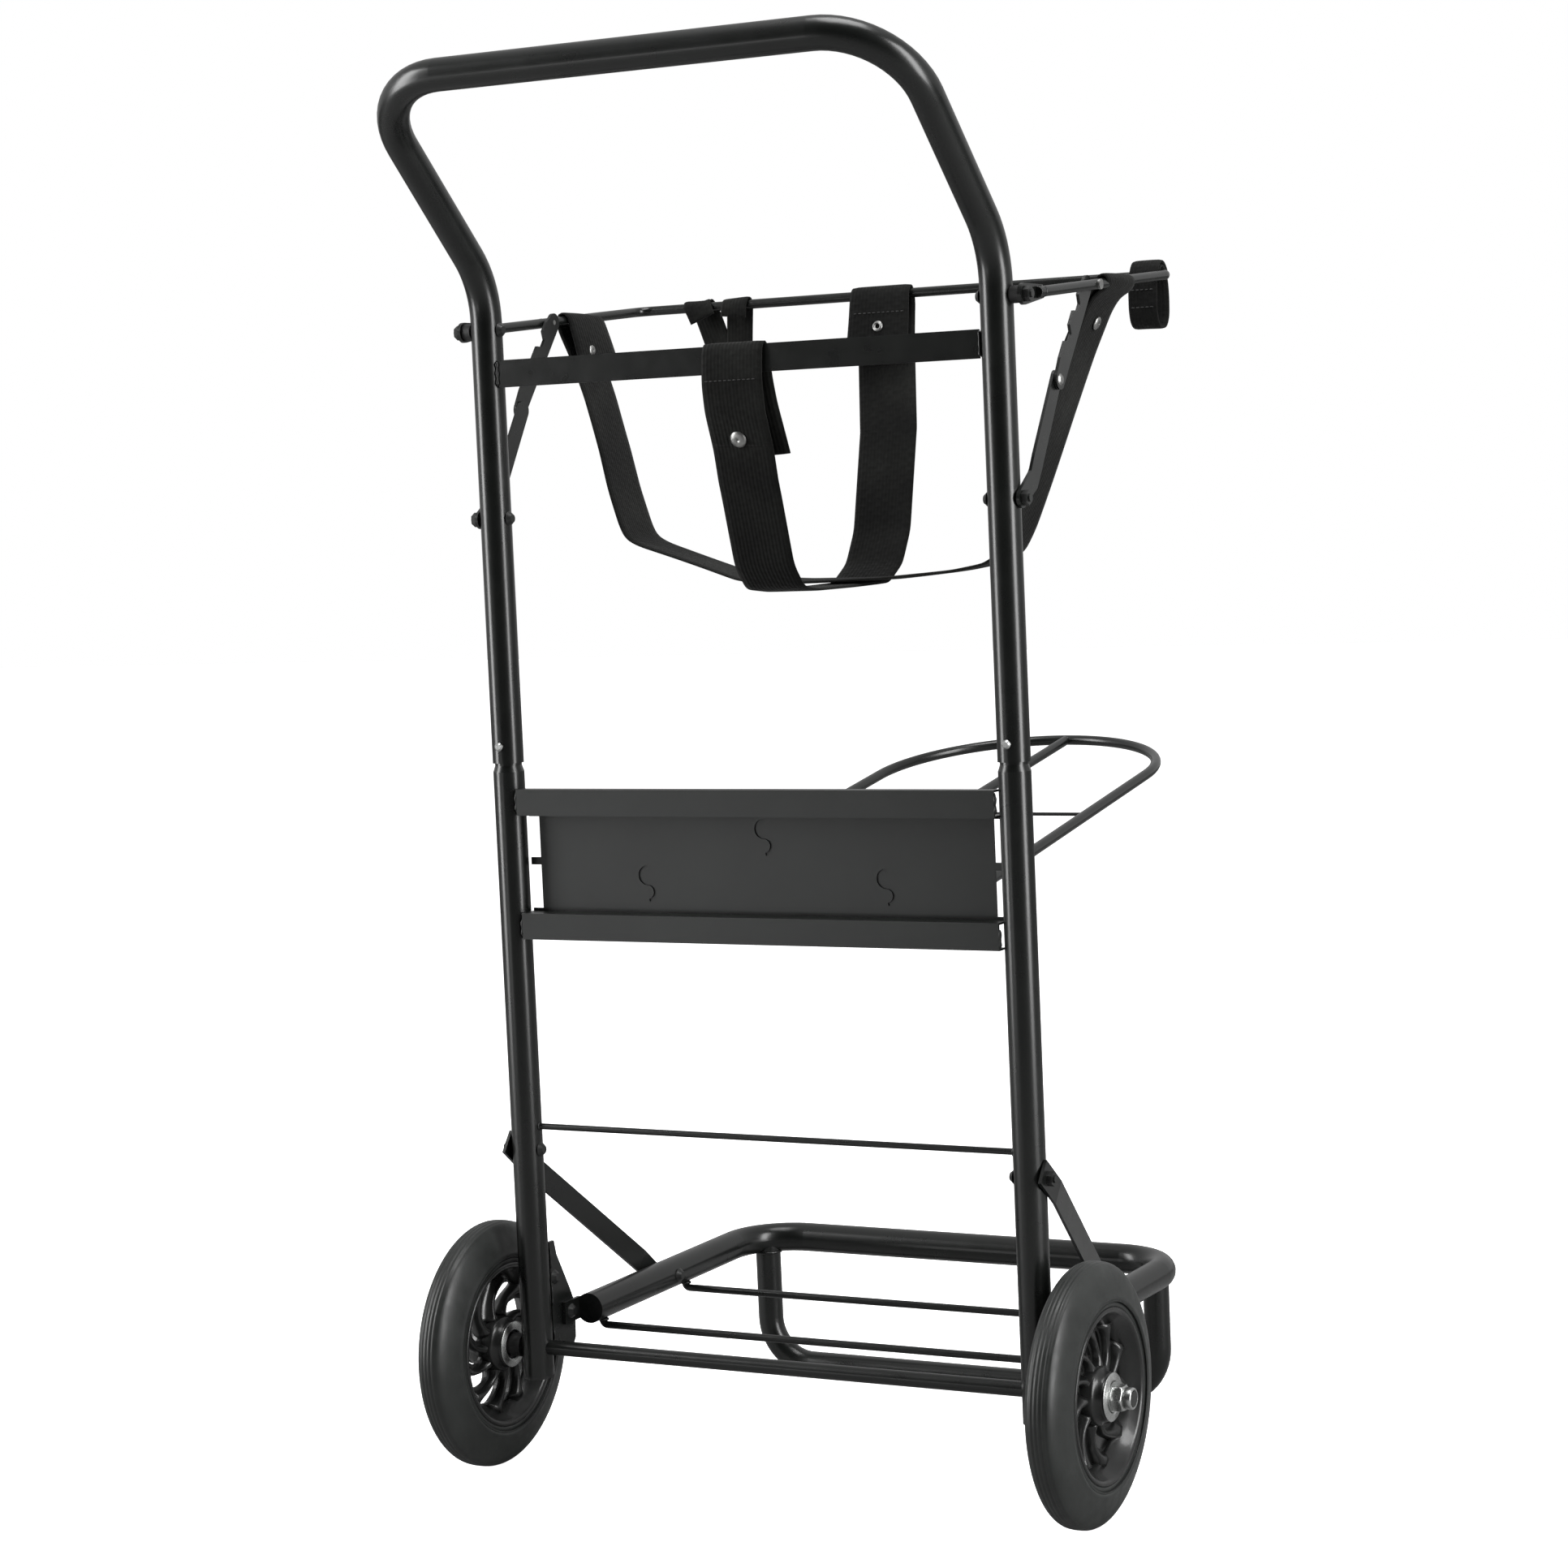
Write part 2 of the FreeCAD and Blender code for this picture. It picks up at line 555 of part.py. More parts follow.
def platform():
    """Platform hoop with two rods and the stand under its front corners."""
    x, front, z = size("deck_x"), size("deck_y"), size("deck_z")
    rear = size("deck_bolt_y") + 12
    level = FreeCAD.Placement(V(0, 0, z), FreeCAD.Rotation())
    points = [(-x, rear), (-x, front), (x, front), (x, rear)]
    hoop = bent_rod("platform_hoop", level, points, size("deck_corner_r"), "Sizes.tube_r",
                    "Sizes.tube_r - Sizes.tube_wall")
    tab, crushed, cap_t = size("plate_t") + 0.5, 9.0, 2.0
    for sign in (-1, 1):
        outer = sign * (x + size("tube_r"))
        ear = new_sketch(hoop, "YZ_Plane", min(outer, outer - sign * tab))
        back = size("deck_bolt_y") - 10
        add_outline(ear, [(back, -crushed), (rear + 3, -crushed), (rear + 3, crushed), (back, crushed)])
        pad(hoop, ear, "Sizes.plate_t + 0.5")
        cap = new_sketch(hoop, "XZ_Plane", -rear - cap_t)
        add_circle(cap, (sign * x, 0), "Sizes.tube_r")
        pad(hoop, cap, str(cap_t))
    for sign in (-1, 1):
        for y in (size("deck_bolt_y"), size("brace_y")):
            bolt = new_sketch(hoop, "YZ_Plane", sign * x)
            add_circle(bolt, (y, 0), "Sizes.bolt_r")
            opening = hoop.newObject("PartDesign::Pocket", "platform_bolt_hole")
            opening.Profile = bolt
            opening.SideType = "Symmetric"
            opening.Length = 4 * size("tube_r")
    node(hoop, "platform_hoop")
    end_x, under = x - 1.7, z - size("tube_r") - 0.1
    for name, y in (("platform_rod_rear", 66.0), ("platform_rod_front", 205.0)):
        across = FreeCAD.Placement(V(0, y, 0), FreeCAD.Rotation(RIGHT, 90))
        points = [(-end_x, under), (-end_x, under - 4.9), (end_x, under - 4.9), (end_x, under)]
        node(bent_rod(name, across, points, 4.5, "Sizes.deck_rod_r"), name)
    upright_plane = FreeCAD.Placement(V(0, size("leg_y"), 0), FreeCAD.Rotation(RIGHT, 90))
    leg, radius, top = size("leg_x"), size("leg_r"), z - 5
    points = [(-leg, top), (-leg, radius), (leg, radius), (leg, top)]
    bar = bent_rod("stand_blank", upright_plane, points, size("leg_corner_r"), "Sizes.leg_r",
                   "Sizes.leg_r - Sizes.tube_wall")
    core = bent_rod("stand_cope", level, [(-x, rear), (-x, front), (x, front), (x, rear)],
                    size("deck_corner_r"), "Sizes.tube_r")
    node(cut("stand", bar, core), "stand")


def axle_bracket(side, sign):
    """Gusset plate on the front of the upright that holds the outside of the platform's side tube."""
    inner = size("deck_x") + size("tube_r") + 0.3
    low_edge = min(sign * inner, sign * (inner + size("plate_t")))
    body = new_body("axle_bracket_" + side, FreeCAD.Placement(V(low_edge, 0, 0), FreeCAD.Rotation()))
    sketch = new_sketch(body, "YZ_Plane")
    rear = size("tube_r") - 0.9
    add_outline(sketch, [(rear, 90), (40, 90), (46, 98), (47, 126), (40, 140), (22, 172), (19, 184), (rear, 184)])
    pad(body, sketch, "Sizes.plate_t")
    hole(body, "YZ_Plane", (size("bracket_bolt_y"), size("bracket_bolt_z")), "Sizes.bolt_r")
    hole(body, "YZ_Plane", (size("deck_bolt_y"), size("deck_z")), "Sizes.bolt_r")
    return node(body, "axle_bracket_" + side)


def deck_brace(side, sign):
    """Flat brace from the outside of the upright down to the outside of the platform tube."""
    top_x = POST_OUT + 0.3 + size("plate_t") / 2
    low_x = size("deck_x") + size("tube_r") + 0.3 + size("plate_t") / 2
    drop, run = size("brace_z") - size("deck_z"), size("brace_y")
    long = math.hypot(drop, run)
    along = V(0, run / long, -drop / long)
    outwards = V(sign, 0, 0)
    frame = FreeCAD.Rotation(along, outwards, along.cross(outwards), "XYZ")
    body = strip("deck_brace_" + side, FreeCAD.Placement(V(0, 0, size("brace_z")), frame), "XY_Plane",
                 [(-11, top_x), (22, top_x), (long - 24, low_x), (long + 11, low_x)], size("plate_t"), "20")
    for place in (0.0, long):
        hole(body, "XZ_Plane", (place, 0), "Sizes.bolt_r")
    return node(body, "deck_brace_" + side)


def through_bolt(name, sign, head_x, nut_x, y, z):
    """Bolt along X: round head on the inside, hexagon nut on the outside."""
    away = V(sign, 0, 0)
    under_head = V(sign * head_x, y, z)
    reach = "%.2f" % (nut_x - head_x + size("nut_tall") + 1.5)
    shank = cylinder(name + "_shank", "Sizes.bolt_r", reach, under_head, away)
    head = doc.addObject("Part::Cone", name + "_head")
    head.setExpression("Radius1", "Sizes.head_r")
    head.Radius2 = 3.2
    head.setExpression("Height", "Sizes.head_tall")
    head.Placement = FreeCAD.Placement(under_head, turned(away * -1))
    nut = doc.addObject("Part::Prism", name + "_nut")
    nut.Polygon = 6
    nut.Circumradius = 5.8
    nut.setExpression("Height", "Sizes.nut_tall")
    nut.Placement = FreeCAD.Placement(V(sign * nut_x, y, z), turned(away))
    return join(name, [shank, head, nut])


def frame_fasteners():
    """Through bolts of the frame, each group of equal bolts in one sub-part."""
    bracket_in = size("deck_x") + size("tube_r") + 0.3
    bracket_out = bracket_in + size("plate_t")
    ear_in = size("deck_x") + size("tube_r") - size("plate_t") - 0.5
    brace_out = POST_OUT + 0.3 + size("plate_t")
    deck_in = size("deck_x") - size("tube_r")
    deck_out = size("deck_x") + size("tube_r") + 0.3 + size("plate_t")
    arm_out = size("arm_x") - size("arm_r") + 3.3
    stay_out = POST_OUT + 0.5 + size("plate_t") + 0.3
    rows = (
        ("sling_pivot_bolts", POST_IN, arm_out, 0, size("arm_z")),
        ("stay_pivot_bolts", POST_IN, stay_out, 0, size("stay_z")),
        ("brace_top_bolts", POST_IN, brace_out, 0, size("brace_z")),
        ("brace_low_bolts", deck_in, deck_out, size("brace_y"), size("deck_z")),
        ("bracket_bolts", bracket_in, bracket_out, size("bracket_bolt_y"), size("bracket_bolt_z")),
        ("platform_bolts", ear_in, bracket_out, size("deck_bolt_y"), size("deck_z")),
    )
    for label, head_x, nut_x, y, z in rows:
        bolts = [through_bolt(label + "_" + side, sign, head_x, nut_x, y, z) for side, sign in SIDES]
        node(group(label, bolts), label)


def pivot_spacers():
    """Sleeves that hold the sling arms off the uprights."""
    width = "%.2f" % (size("arm_x") - size("arm_r") - 0.3 - POST_OUT)
    sleeves = []
    for side, sign in SIDES:
        base = V(sign * POST_OUT, 0, size("arm_z"))
        sleeves.append(ring("sleeve_" + side, "6.5", "Sizes.bolt_r", width, base, V(sign, 0, 0)))
    return node(group("pivot_spacers", sleeves), "pivot_spacers")


# ---- folding sling frame ----------------------------------------------------------------------------------

ARM_FRAME = FreeCAD.Placement(V(0, 0, size("arm_z")), FreeCAD.Rotation(RIGHT, size("arm_tilt")))


UPPER_LINK_IN = POST_OUT + 0.5 + size("plate_t") + 0.4


def sling_frame():
    """Rod bent into a U, with a flat pivot tab welded inside the rear end of each arm."""
    x, long, radius = size("arm_x"), size("arm_long"), size("arm_r")
    start = 20.0
    points = [(-x, start), (-x, long), (x, long), (x, start)]
    body = bent_rod("sling_frame", ARM_FRAME, points, size("arm_corner_r"), "Sizes.arm_r")
    tab = 3.0
    for sign in (-1, 1):
        low = min(sign * (x - radius), sign * (x - radius + tab))
        sketch = new_sketch(body, "YZ_Plane", low)
        sketch.addGeometry(Part.LineSegment(V(0, 8, 0), V(34, 5, 0)), False)
        sketch.addGeometry(Part.LineSegment(V(34, 5, 0), V(34, -5, 0)), False)
        sketch.addGeometry(Part.LineSegment(V(34, -5, 0), V(0, -8, 0)), False)
        sketch.addGeometry(Part.Arc(V(0, -8, 0), V(-8, 0, 0), V(0, 8, 0)), False)
        pad(body, sketch, "3")
    hole(body, "YZ_Plane", (0, 0), "Sizes.bolt_r + Sizes.run_gap")
    hole(body, "YZ_Plane", (size("stay_on_arm"), 0), "2")
    return node(body, "sling_frame")


def arm_rivets():
    """Rivets that carry the upper stay links on the arms."""
    rivets = []
    link_in = UPPER_LINK_IN
    for side, sign in SIDES:
        away = V(sign, 0, 0)
        shank_base = ARM_FRAME.multVec(V(sign * link_in, size("stay_on_arm"), 0))
        reach = "%.2f" % (size("arm_x") + size("arm_r") + 1.0 - link_in)
        shank = cylinder("rivet_%s_shank" % side, "2", reach, shank_base, away)
        end_base = shank_base + away * (size("arm_x") + size("arm_r") - link_in)
        end = cylinder("rivet_%s_end" % side, "4", "1.6", end_base, away)
        rivets.append(join("rivet_" + side, [shank, end]))
    return node(group("arm_rivets", rivets), "arm_rivets")


def stay_places():
    """Where the stay starts, its direction and the place of the stay's middle pivot."""
    foot = V(0, 0, size("stay_z"))
    top = ARM_FRAME.multVec(V(0, size("stay_on_arm"), 0))
    along = (top - foot).normalize()
    return foot, top, along, foot + along * size("stay_low")


def link_body(label, start, along, inner_x, sign, outline, holes):
    """Flat stay link; local X runs along the link, local Y across it and local Z along world X."""
    across = RIGHT.cross(along)
    low = min(sign * inner_x, sign * (inner_x + size("plate_t")))
    frame = FreeCAD.Rotation(along, across, RIGHT, "XYZ")
    body = new_body(label, FreeCAD.Placement(start + V(low, 0, 0), frame))
    sketch = new_sketch(body, "XY_Plane")
    outline(sketch)
    pad(body, sketch, "Sizes.plate_t")
    for place, radius in holes:
        hole(body, "XY_Plane", (place, 0), radius)
    return node(body, label)


def lower_link(side, sign):
    """Lower stay link, dog-legged near its foot."""
    foot, top, along, middle = stay_places()
    half, long = size("stay_wide") / 2, size("stay_low")

    def outline(sketch):
        edges = [
            Part.Arc(V(0, half, 0), V(-half, 0, 0), V(0, -half, 0)),
            Part.LineSegment(V(0, -half, 0), V(22, -half - 9, 0)),
            Part.LineSegment(V(22, -half - 9, 0), V(38, -half - 8, 0)),
            Part.LineSegment(V(38, -half - 8, 0), V(long, -half, 0)),
            Part.Arc(V(long, -half, 0), V(long + half, 0, 0), V(long, half, 0)),
            Part.LineSegment(V(long, half, 0), V(40, half - 6, 0)),
            Part.LineSegment(V(40, half - 6, 0), V(26, half - 8, 0)),
            Part.LineSegment(V(26, half - 8, 0), V(0, half, 0)),
        ]
        for edge in edges:
            sketch.addGeometry(edge, False)

    return link_body("stay_lower_" + side, foot, along, POST_OUT + 0.5, sign, outline,
                     [(0.0, "Sizes.bolt_r + Sizes.run_gap")])


def upper_link(side, sign):
    """Upper stay link, with the lock notches along its rear edge."""
    foot, top, along, middle = stay_places()
    half, long = size("stay_wide") / 2, (top - middle).Length

    def outline(sketch):
        notches = [(30, half + 2), (34, half - 4), (42, half - 4), (46, half + 2)]
        notches += [(60, half + 2), (64, half - 4), (72, half - 4), (76, half + 2)]
        corners = [(0, half)] + [(14, half + 2)] + notches + [(86, half + 2), (long, half)]
        for start, end in zip(corners, corners[1:]):
            sketch.addGeometry(Part.LineSegment(V(start[0], start[1], 0), V(end[0], end[1], 0)), False)
        sketch.addGeometry(Part.Arc(V(long, half, 0), V(long + half, 0, 0), V(long, -half, 0)), False)
        sketch.addGeometry(Part.LineSegment(V(long, -half, 0), V(0, -half, 0)), False)
        sketch.addGeometry(Part.Arc(V(0, -half, 0), V(-half, 0, 0), V(0, half, 0)), False)

    inner = UPPER_LINK_IN
    return link_body("stay_upper_" + side, middle, along, inner, sign, outline,
                     [(long, "2 + Sizes.run_gap")])


def stay_buttons():
    """Round rivet heads on the outer face of the stays' middle pivots."""
    foot, top, along, middle = stay_places()
    inner = UPPER_LINK_IN + size("plate_t")
    for side, sign in SIDES:
        head = doc.addObject("Part::Cone", "stay_rivet_" + side)
        head.Radius1 = 4.5
        head.Radius2 = 3.0
        head.Height = 1.2
        head.Placement = FreeCAD.Placement(middle + V(sign * inner, 0, 0), turned(V(sign, 0, 0)))
        node(head, "stay_rivet_" + side)


# ---- hinged rest loop ---------------------------------------------------------------------------------------

LOOP_FRAME = FreeCAD.Placement(V(0, size("loop_y"), size("loop_z")), FreeCAD.Rotation(RIGHT, size("loop_tilt")))


def rest_loop():
    """Long D shaped rod hoop, its hinge rod, centre bar and cross wire."""
    x, long = size("loop_x"), size("loop_long")
    body = new_body("rest_loop", LOOP_FRAME)
    path = new_sketch(body, "XY_Plane")
    turn = long - x
    path.addGeometry(Part.LineSegment(V(-x, 0, 0), V(-x, turn, 0)), False)
    path.addGeometry(Part.Arc(V(-x, turn, 0), V(0, long, 0), V(x, turn, 0)), False)
    path.addGeometry(Part.LineSegment(V(x, turn, 0), V(x, 0, 0)), False)
    section = new_sketch(body, "XZ_Plane")
    add_circle(section, (-x, 0), "Sizes.loop_r")
    sweep = body.newObject("PartDesign::AdditivePipe", "rest_loop_sweep")
    sweep.Profile = section
    doc.recompute()
    sweep.Spine = (path, ["Edge1", "Edge2", "Edge3"])
    across = ((0, "Sizes.loop_r", "2 * Sizes.loop_x + 50"),
              (size("loop_wire_y"), "1.5", "2 * Sizes.loop_x"))
    for place, radius, length in across:
        rod = new_sketch(body, "YZ_Plane")
        add_circle(rod, (place, 0), radius)
        pad(body, rod, length, both_ways=True)
    centre = new_sketch(body, "XZ_Plane")
    add_circle(centre, (0, 0), "Sizes.loop_r - 0.2")
    bar = pad(body, centre, "Sizes.loop_long")
    bar.Reversed = True
    node(body, "rest_loop")


def loop_brackets():
    """Eyes on the panel's lower band that hold the rest loop's hinge rod."""
    half = 5.0
    for side, sign in SIDES:
        centre = sign * (size("loop_x") + 15)
        body = new_body("loop_bracket_" + side, FreeCAD.Placement(V(centre, 0, 0), FreeCAD.Rotation()))
        y, z = size("loop_y"), size("loop_z")
        reach = 9.0
        front = PANEL_REAR + size("panel_recess") + size("sheet_t") / 2
        sketch = new_sketch(body, "YZ_Plane")
        sketch.addGeometry(Part.Arc(V(y, z - reach, 0), V(y + reach, z, 0), V(y, z + reach, 0)), False)
        corners = [(y, z + reach), (front + 3, z + reach + 2), (front + 3, z + 30), (front, z + 30),
                   (front, z + reach - 4), (y - 8, z - reach + 4), (y, z - reach)]
        for start, end in zip(corners, corners[1:]):
            sketch.addGeometry(Part.LineSegment(V(start[0], start[1], 0), V(end[0], end[1], 0)), False)
        pad(body, sketch, "10", both_ways=True)
        hole(body, "YZ_Plane", (y, z), "Sizes.loop_r + Sizes.run_gap")
        node(body, "loop_bracket_" + side)


# ---- snap buttons -------------------------------------------------------------------------------------------

def snap_button(side, sign):
    """Spring button through the spigot and the upper tube, on its leaf inside the tube."""
    x, z = sign * size("post_x"), size("button_z")
    away = V(0, -1, 0)
    leaf_y = -7.6
    shank = cylinder("button_shank_" + side, "Sizes.button_r", "6.2", V(x, leaf_y, z), away)
    dome = doc.addObject("Part::Cone", "button_dome_" + side)
    dome.setExpression("Radius1", "Sizes.button_r")
    dome.Radius2 = 2.2
    dome.Height = 1.4
    dome.Placement = FreeCAD.Placement(V(x, leaf_y - 6.2, z), turned(away))
    leaf = doc.addObject("Part::Box", "button_leaf_" + side)
    leaf.Length = 7
    leaf.Width = 0.8
    leaf.Height = 46
    leaf.Placement = FreeCAD.Placement(V(x - 3.5, leaf_y, z - 8), FreeCAD.Rotation())
    return node(join("snap_button_" + side, [shank, dome, leaf]), "snap_button_" + side)


# ---- webbing sling ----------------------------------------------------------------------------------------

def belts():
    """Two crossed webbing belts that hang as a cradle, and two small tie straps."""
    rod = ARM_FRAME.multVec(V(0, size("arm_long"), 0))
    t, r = size("belt_t"), size("arm_r")
    low = 705.0
    wide = "Sizes.belt_wide"
    bar_top = size("crossbar_z") + size("crossbar_tall") / 2
    lengthwise = [
        (-9.6, bar_top - 2), (-9.6, 852), (-2, 826), (14, 796), (36, 724), (52, low + 4), (95, low), (204, low),
        (222, low + 12), (240, low + 40), (rod.y - r - 8, rod.z - 60), (rod.y - r - 3.2, rod.z - 8),
    ]
    body = strip("belt_lengthwise", None, "YZ_Plane", lengthwise, t, wide)
    node(body, "belt_lengthwise")
    arm_z = ARM_FRAME.multVec(V(0, size("belt_y"), 0)).z
    inner = size("arm_x") - r - 4.2
    cross = [
        (-inner - 1, arm_z - 6), (-inner + 4, 905), (-192, 756), (-182, 746), (-86, 713.5), (-30, 710), (33, 711),
        (117, 717), (160, 722), (176, 733), (inner - 8, 880), (inner + 1, arm_z - 6),
    ]
    place = FreeCAD.Placement(V(0, size("belt_y"), 0), FreeCAD.Rotation())
    node(strip("belt_cross", place, "XZ_Plane", cross, t, wide), "belt_cross")
    off = r + 1.6
    wide_loop = off + 6
    loop = [(rod.y - wide_loop, 904), (rod.y - wide_loop, rod.z - 10), (rod.y - 5, rod.z + off), (rod.y + 5, rod.z + off),
            (rod.y + wide_loop, rod.z - 10), (rod.y + wide_loop, 904)]
    place = FreeCAD.Placement(V(size("arm_x") - size("arm_corner_r") - 16, 0, 0), FreeCAD.Rotation())
    node(strip("loop_strap", place, "YZ_Plane", loop, 2.0, "24"), "loop_strap")
    for name, x, low_end in (("tie_strap_long", -183.0, 800.0), ("tie_strap_short", -150.0, 852.0)):
        tail = [(rod.y - off, rod.z - 22), (rod.y - off, rod.z + 3), (rod.y, rod.z + off), (rod.y + off, rod.z + 3),
                (rod.y + off, low_end)]
        place = FreeCAD.Placement(V(x, 0, 0), FreeCAD.Rotation())
        node(strip(name, place, "YZ_Plane", tail, 1.6, "24"), name)


for side_name, side_sign in SIDES:
    lower_post(side_name, side_sign)
upper_frame()
flat_crossbar()
lower_wire()
panel()
axle()
axle_fittings()
for side_name, side_sign in SIDES:
    tyre(side_name, side_sign)
    rim(side_name, side_sign)
    bearings(side_name, side_sign)
    axle_bracket(side_name, side_sign)
    deck_brace(side_name, side_sign)
    lower_link(side_name, side_sign)
    upper_link(side_name, side_sign)
    snap_button(side_name, side_sign)
platform()
post_plugs()
frame_fasteners()
pivot_spacers()
sling_frame()
arm_rivets()
stay_buttons()
rest_loop()
loop_brackets()
belts()

for obj in NODES:
    obj.Placement = FreeCAD.Placement(V(0, size("axle_y"), 0), FreeCAD.Rotation()).multiply(obj.Placement)
doc.recompute()
faults = [obj.Name for obj in doc.Objects if {"Invalid", "Error"} & set(obj.State)]
faults += [obj.Label for obj in NODES if obj.Shape.isNull() or not obj.Shape.isValid()]
if faults:
    raise SystemExit("failed objects: " + ", ".join(faults))
os.makedirs("parts", exist_ok=True)
for obj in NODES:
    obj.Shape.exportStep("parts/%s.step" % obj.Label)
    box = obj.Shape.BoundBox
    print("%-22s solids %2d  volume %9.0f  x %7.1f %7.1f  y %7.1f %7.1f  z %7.1f %7.1f" % (
        obj.Label, len(obj.Shape.Solids), obj.Shape.Volume,
        box.XMin, box.XMax, box.YMin, box.YMax, box.ZMin, box.ZMax))
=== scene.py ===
"""Black game cart seen from behind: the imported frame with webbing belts, finished wheels and studio light."""
import math
import random

import bmesh
import bpy
from mathutils import Matrix, Vector


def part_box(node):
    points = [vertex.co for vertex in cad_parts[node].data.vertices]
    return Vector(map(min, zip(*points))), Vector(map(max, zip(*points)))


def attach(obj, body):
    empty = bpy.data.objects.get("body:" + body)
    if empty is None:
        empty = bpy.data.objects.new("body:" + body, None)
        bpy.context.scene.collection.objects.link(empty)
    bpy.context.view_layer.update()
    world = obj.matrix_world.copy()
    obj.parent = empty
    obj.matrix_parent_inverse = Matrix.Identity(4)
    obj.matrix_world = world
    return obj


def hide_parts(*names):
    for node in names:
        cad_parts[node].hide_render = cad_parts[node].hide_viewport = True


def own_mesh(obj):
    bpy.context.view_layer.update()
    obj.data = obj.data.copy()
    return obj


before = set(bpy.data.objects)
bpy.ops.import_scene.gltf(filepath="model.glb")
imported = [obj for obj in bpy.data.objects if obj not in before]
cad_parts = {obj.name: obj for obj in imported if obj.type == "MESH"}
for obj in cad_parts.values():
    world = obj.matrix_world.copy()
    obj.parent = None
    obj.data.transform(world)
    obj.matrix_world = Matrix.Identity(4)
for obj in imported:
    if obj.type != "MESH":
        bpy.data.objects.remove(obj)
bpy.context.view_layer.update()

X_AXIS, Y_AXIS, Z_AXIS = Vector((1, 0, 0)), Vector((0, 1, 0)), Vector((0, 0, 1))
SIDES = (("left", -1), ("right", 1))
random.seed(7)


def centre(node):
    """Middle of a CAD node's box."""
    low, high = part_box(node)
    return (Vector(low) + Vector(high)) / 2


AXLE = centre("axle")
POST_X = centre("lower_post_right").x
TUBE_R = (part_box("lower_post_right")[1][0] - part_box("lower_post_right")[0][0]) / 2
WHEEL_X = centre("tyre_right").x
# Height of the pivots that the sling's arms turn on, and how far the arms rise forwards when open.
SLING_PIVOT_Z = 0.921
SLING_TILT = math.radians(4.6)
# Level direction from the cart to the camera.
TOWARDS_CAMERA = (0.469, -0.883, 0.0)


# ---- camera, floor and light ---------------------------------------------------------------------

def rotation_of(yaw, pitch, roll):
    """Camera rotation: yaw left of +Y, pitch up, roll clockwise, all in degrees."""
    a, p, r = (math.radians(value) for value in (yaw, pitch, roll))
    look = Vector((-math.sin(a) * math.cos(p), math.cos(a) * math.cos(p), math.sin(p)))
    right = Vector((math.cos(a), math.sin(a), 0))
    up = right.cross(look)
    across = right * math.cos(r) + up * math.sin(r)
    upward = up * math.cos(r) - right * math.sin(r)
    return Matrix((across, upward, -look)).transposed().to_4x4()


def camera():
    """Camera behind the cart and to its right, about 2.7 m from the axle."""
    data = bpy.data.cameras.new("Camera")
    data.sensor_width = 36
    data.lens = 81.2
    obj = bpy.data.objects.new("Camera", data)
    bpy.context.collection.objects.link(obj)
    place = Vector((1.3010, AXLE.y - 2.3963, 0.7892))
    obj.matrix_world = Matrix.Translation(place) @ rotation_of(27.99, -4.83, -2.51)
    bpy.context.scene.camera = obj


def area_light(name, place, target, width, height, power):
    """Soft rectangular light aimed at a point."""
    data = bpy.data.lights.new(name, "AREA")
    data.shape = "RECTANGLE"
    data.size = width
    data.size_y = height
    data.energy = power
    obj = bpy.data.objects.new(name, data)
    bpy.context.collection.objects.link(obj)
    obj.location = place
    obj.rotation_euler = (Vector(target) - Vector(place)).to_track_quat("-Z", "Y").to_euler()


def surroundings():
    """White to the camera; to everything else a studio that is dark behind the camera and grey elsewhere."""
    world = bpy.data.worlds.new("World")
    world.use_nodes = True
    nodes, links = world.node_tree.nodes, world.node_tree.links
    place = nodes.new("ShaderNodeTexCoord")
    facing = nodes.new("ShaderNodeVectorMath")
    facing.operation = "DOT_PRODUCT"
    facing.inputs[1].default_value = TOWARDS_CAMERA
    links.new(place.outputs["Generated"], facing.inputs[0])
    greys = ((0.0, 0.5), (0.25, 0.2), (0.55, 0.04), (1.0, 0.012))
    tone = ramp(nodes, links, facing.outputs["Value"], [(position, (grey,) * 3) for position, grey in greys])
    rays = nodes.new("ShaderNodeLightPath")
    around = nodes["Background"]
    around.inputs["Strength"].default_value = 1.0
    white = nodes.new("ShaderNodeBackground")
    white.inputs["Color"].default_value = (1, 1, 1, 1)
    white.inputs["Strength"].default_value = 1.0
    links.new(tone, around.inputs["Color"])
    mix = nodes.new("ShaderNodeMixShader")
    links.new(rays.outputs["Is Camera Ray"], mix.inputs["Fac"])
    links.new(around.outputs["Background"], mix.inputs[1])
    links.new(white.outputs["Background"], mix.inputs[2])
    links.new(mix.outputs["Shader"], nodes["World Output"].inputs["Surface"])
    bpy.context.scene.world = world


def studio():
    """White floor, a soft light either side, one above and a faint one on the panel."""
    surroundings()
    bpy.context.scene.view_settings.view_transform = "Standard"
    target = (0, 0, 0.6)
    area_light("Light_left", (-2.5, -1.7, 1.2), target, 0.9, 3.0, 80)
    area_light("Light_right", (2.6, -0.5, 1.3), target, 0.9, 3.0, 85)
    area_light("Light_top", (0.2, -0.4, 3.2), target, 1.4, 1.4, 40)
    area_light("Light_panel", (-1.25, -2.6, 0.1), (0, 0, 0.5), 0.7, 0.5, 2.2)
    bm = bmesh.new()
    bmesh.ops.create_grid(bm, x_segments=8, y_segments=8, size=12)
    floor = add_mesh("Floor", bm, floor_paint())


# ---- materials -----------------------------------------------------------------------------------

def new_material(name, color, rough, metallic=0.0):
    """Material with a Principled shader; returns the material, its nodes, links and shader."""
    material = bpy.data.materials.new(name)
    material.use_nodes = True
    nodes, links = material.node_tree.nodes, material.node_tree.links
    shader = nodes["Principled BSDF"]
    shader.inputs["Base Color"].default_value = (*color, 1)
    shader.inputs["Roughness"].default_value = rough
    shader.inputs["Metallic"].default_value = metallic
    return material, nodes, links, shader


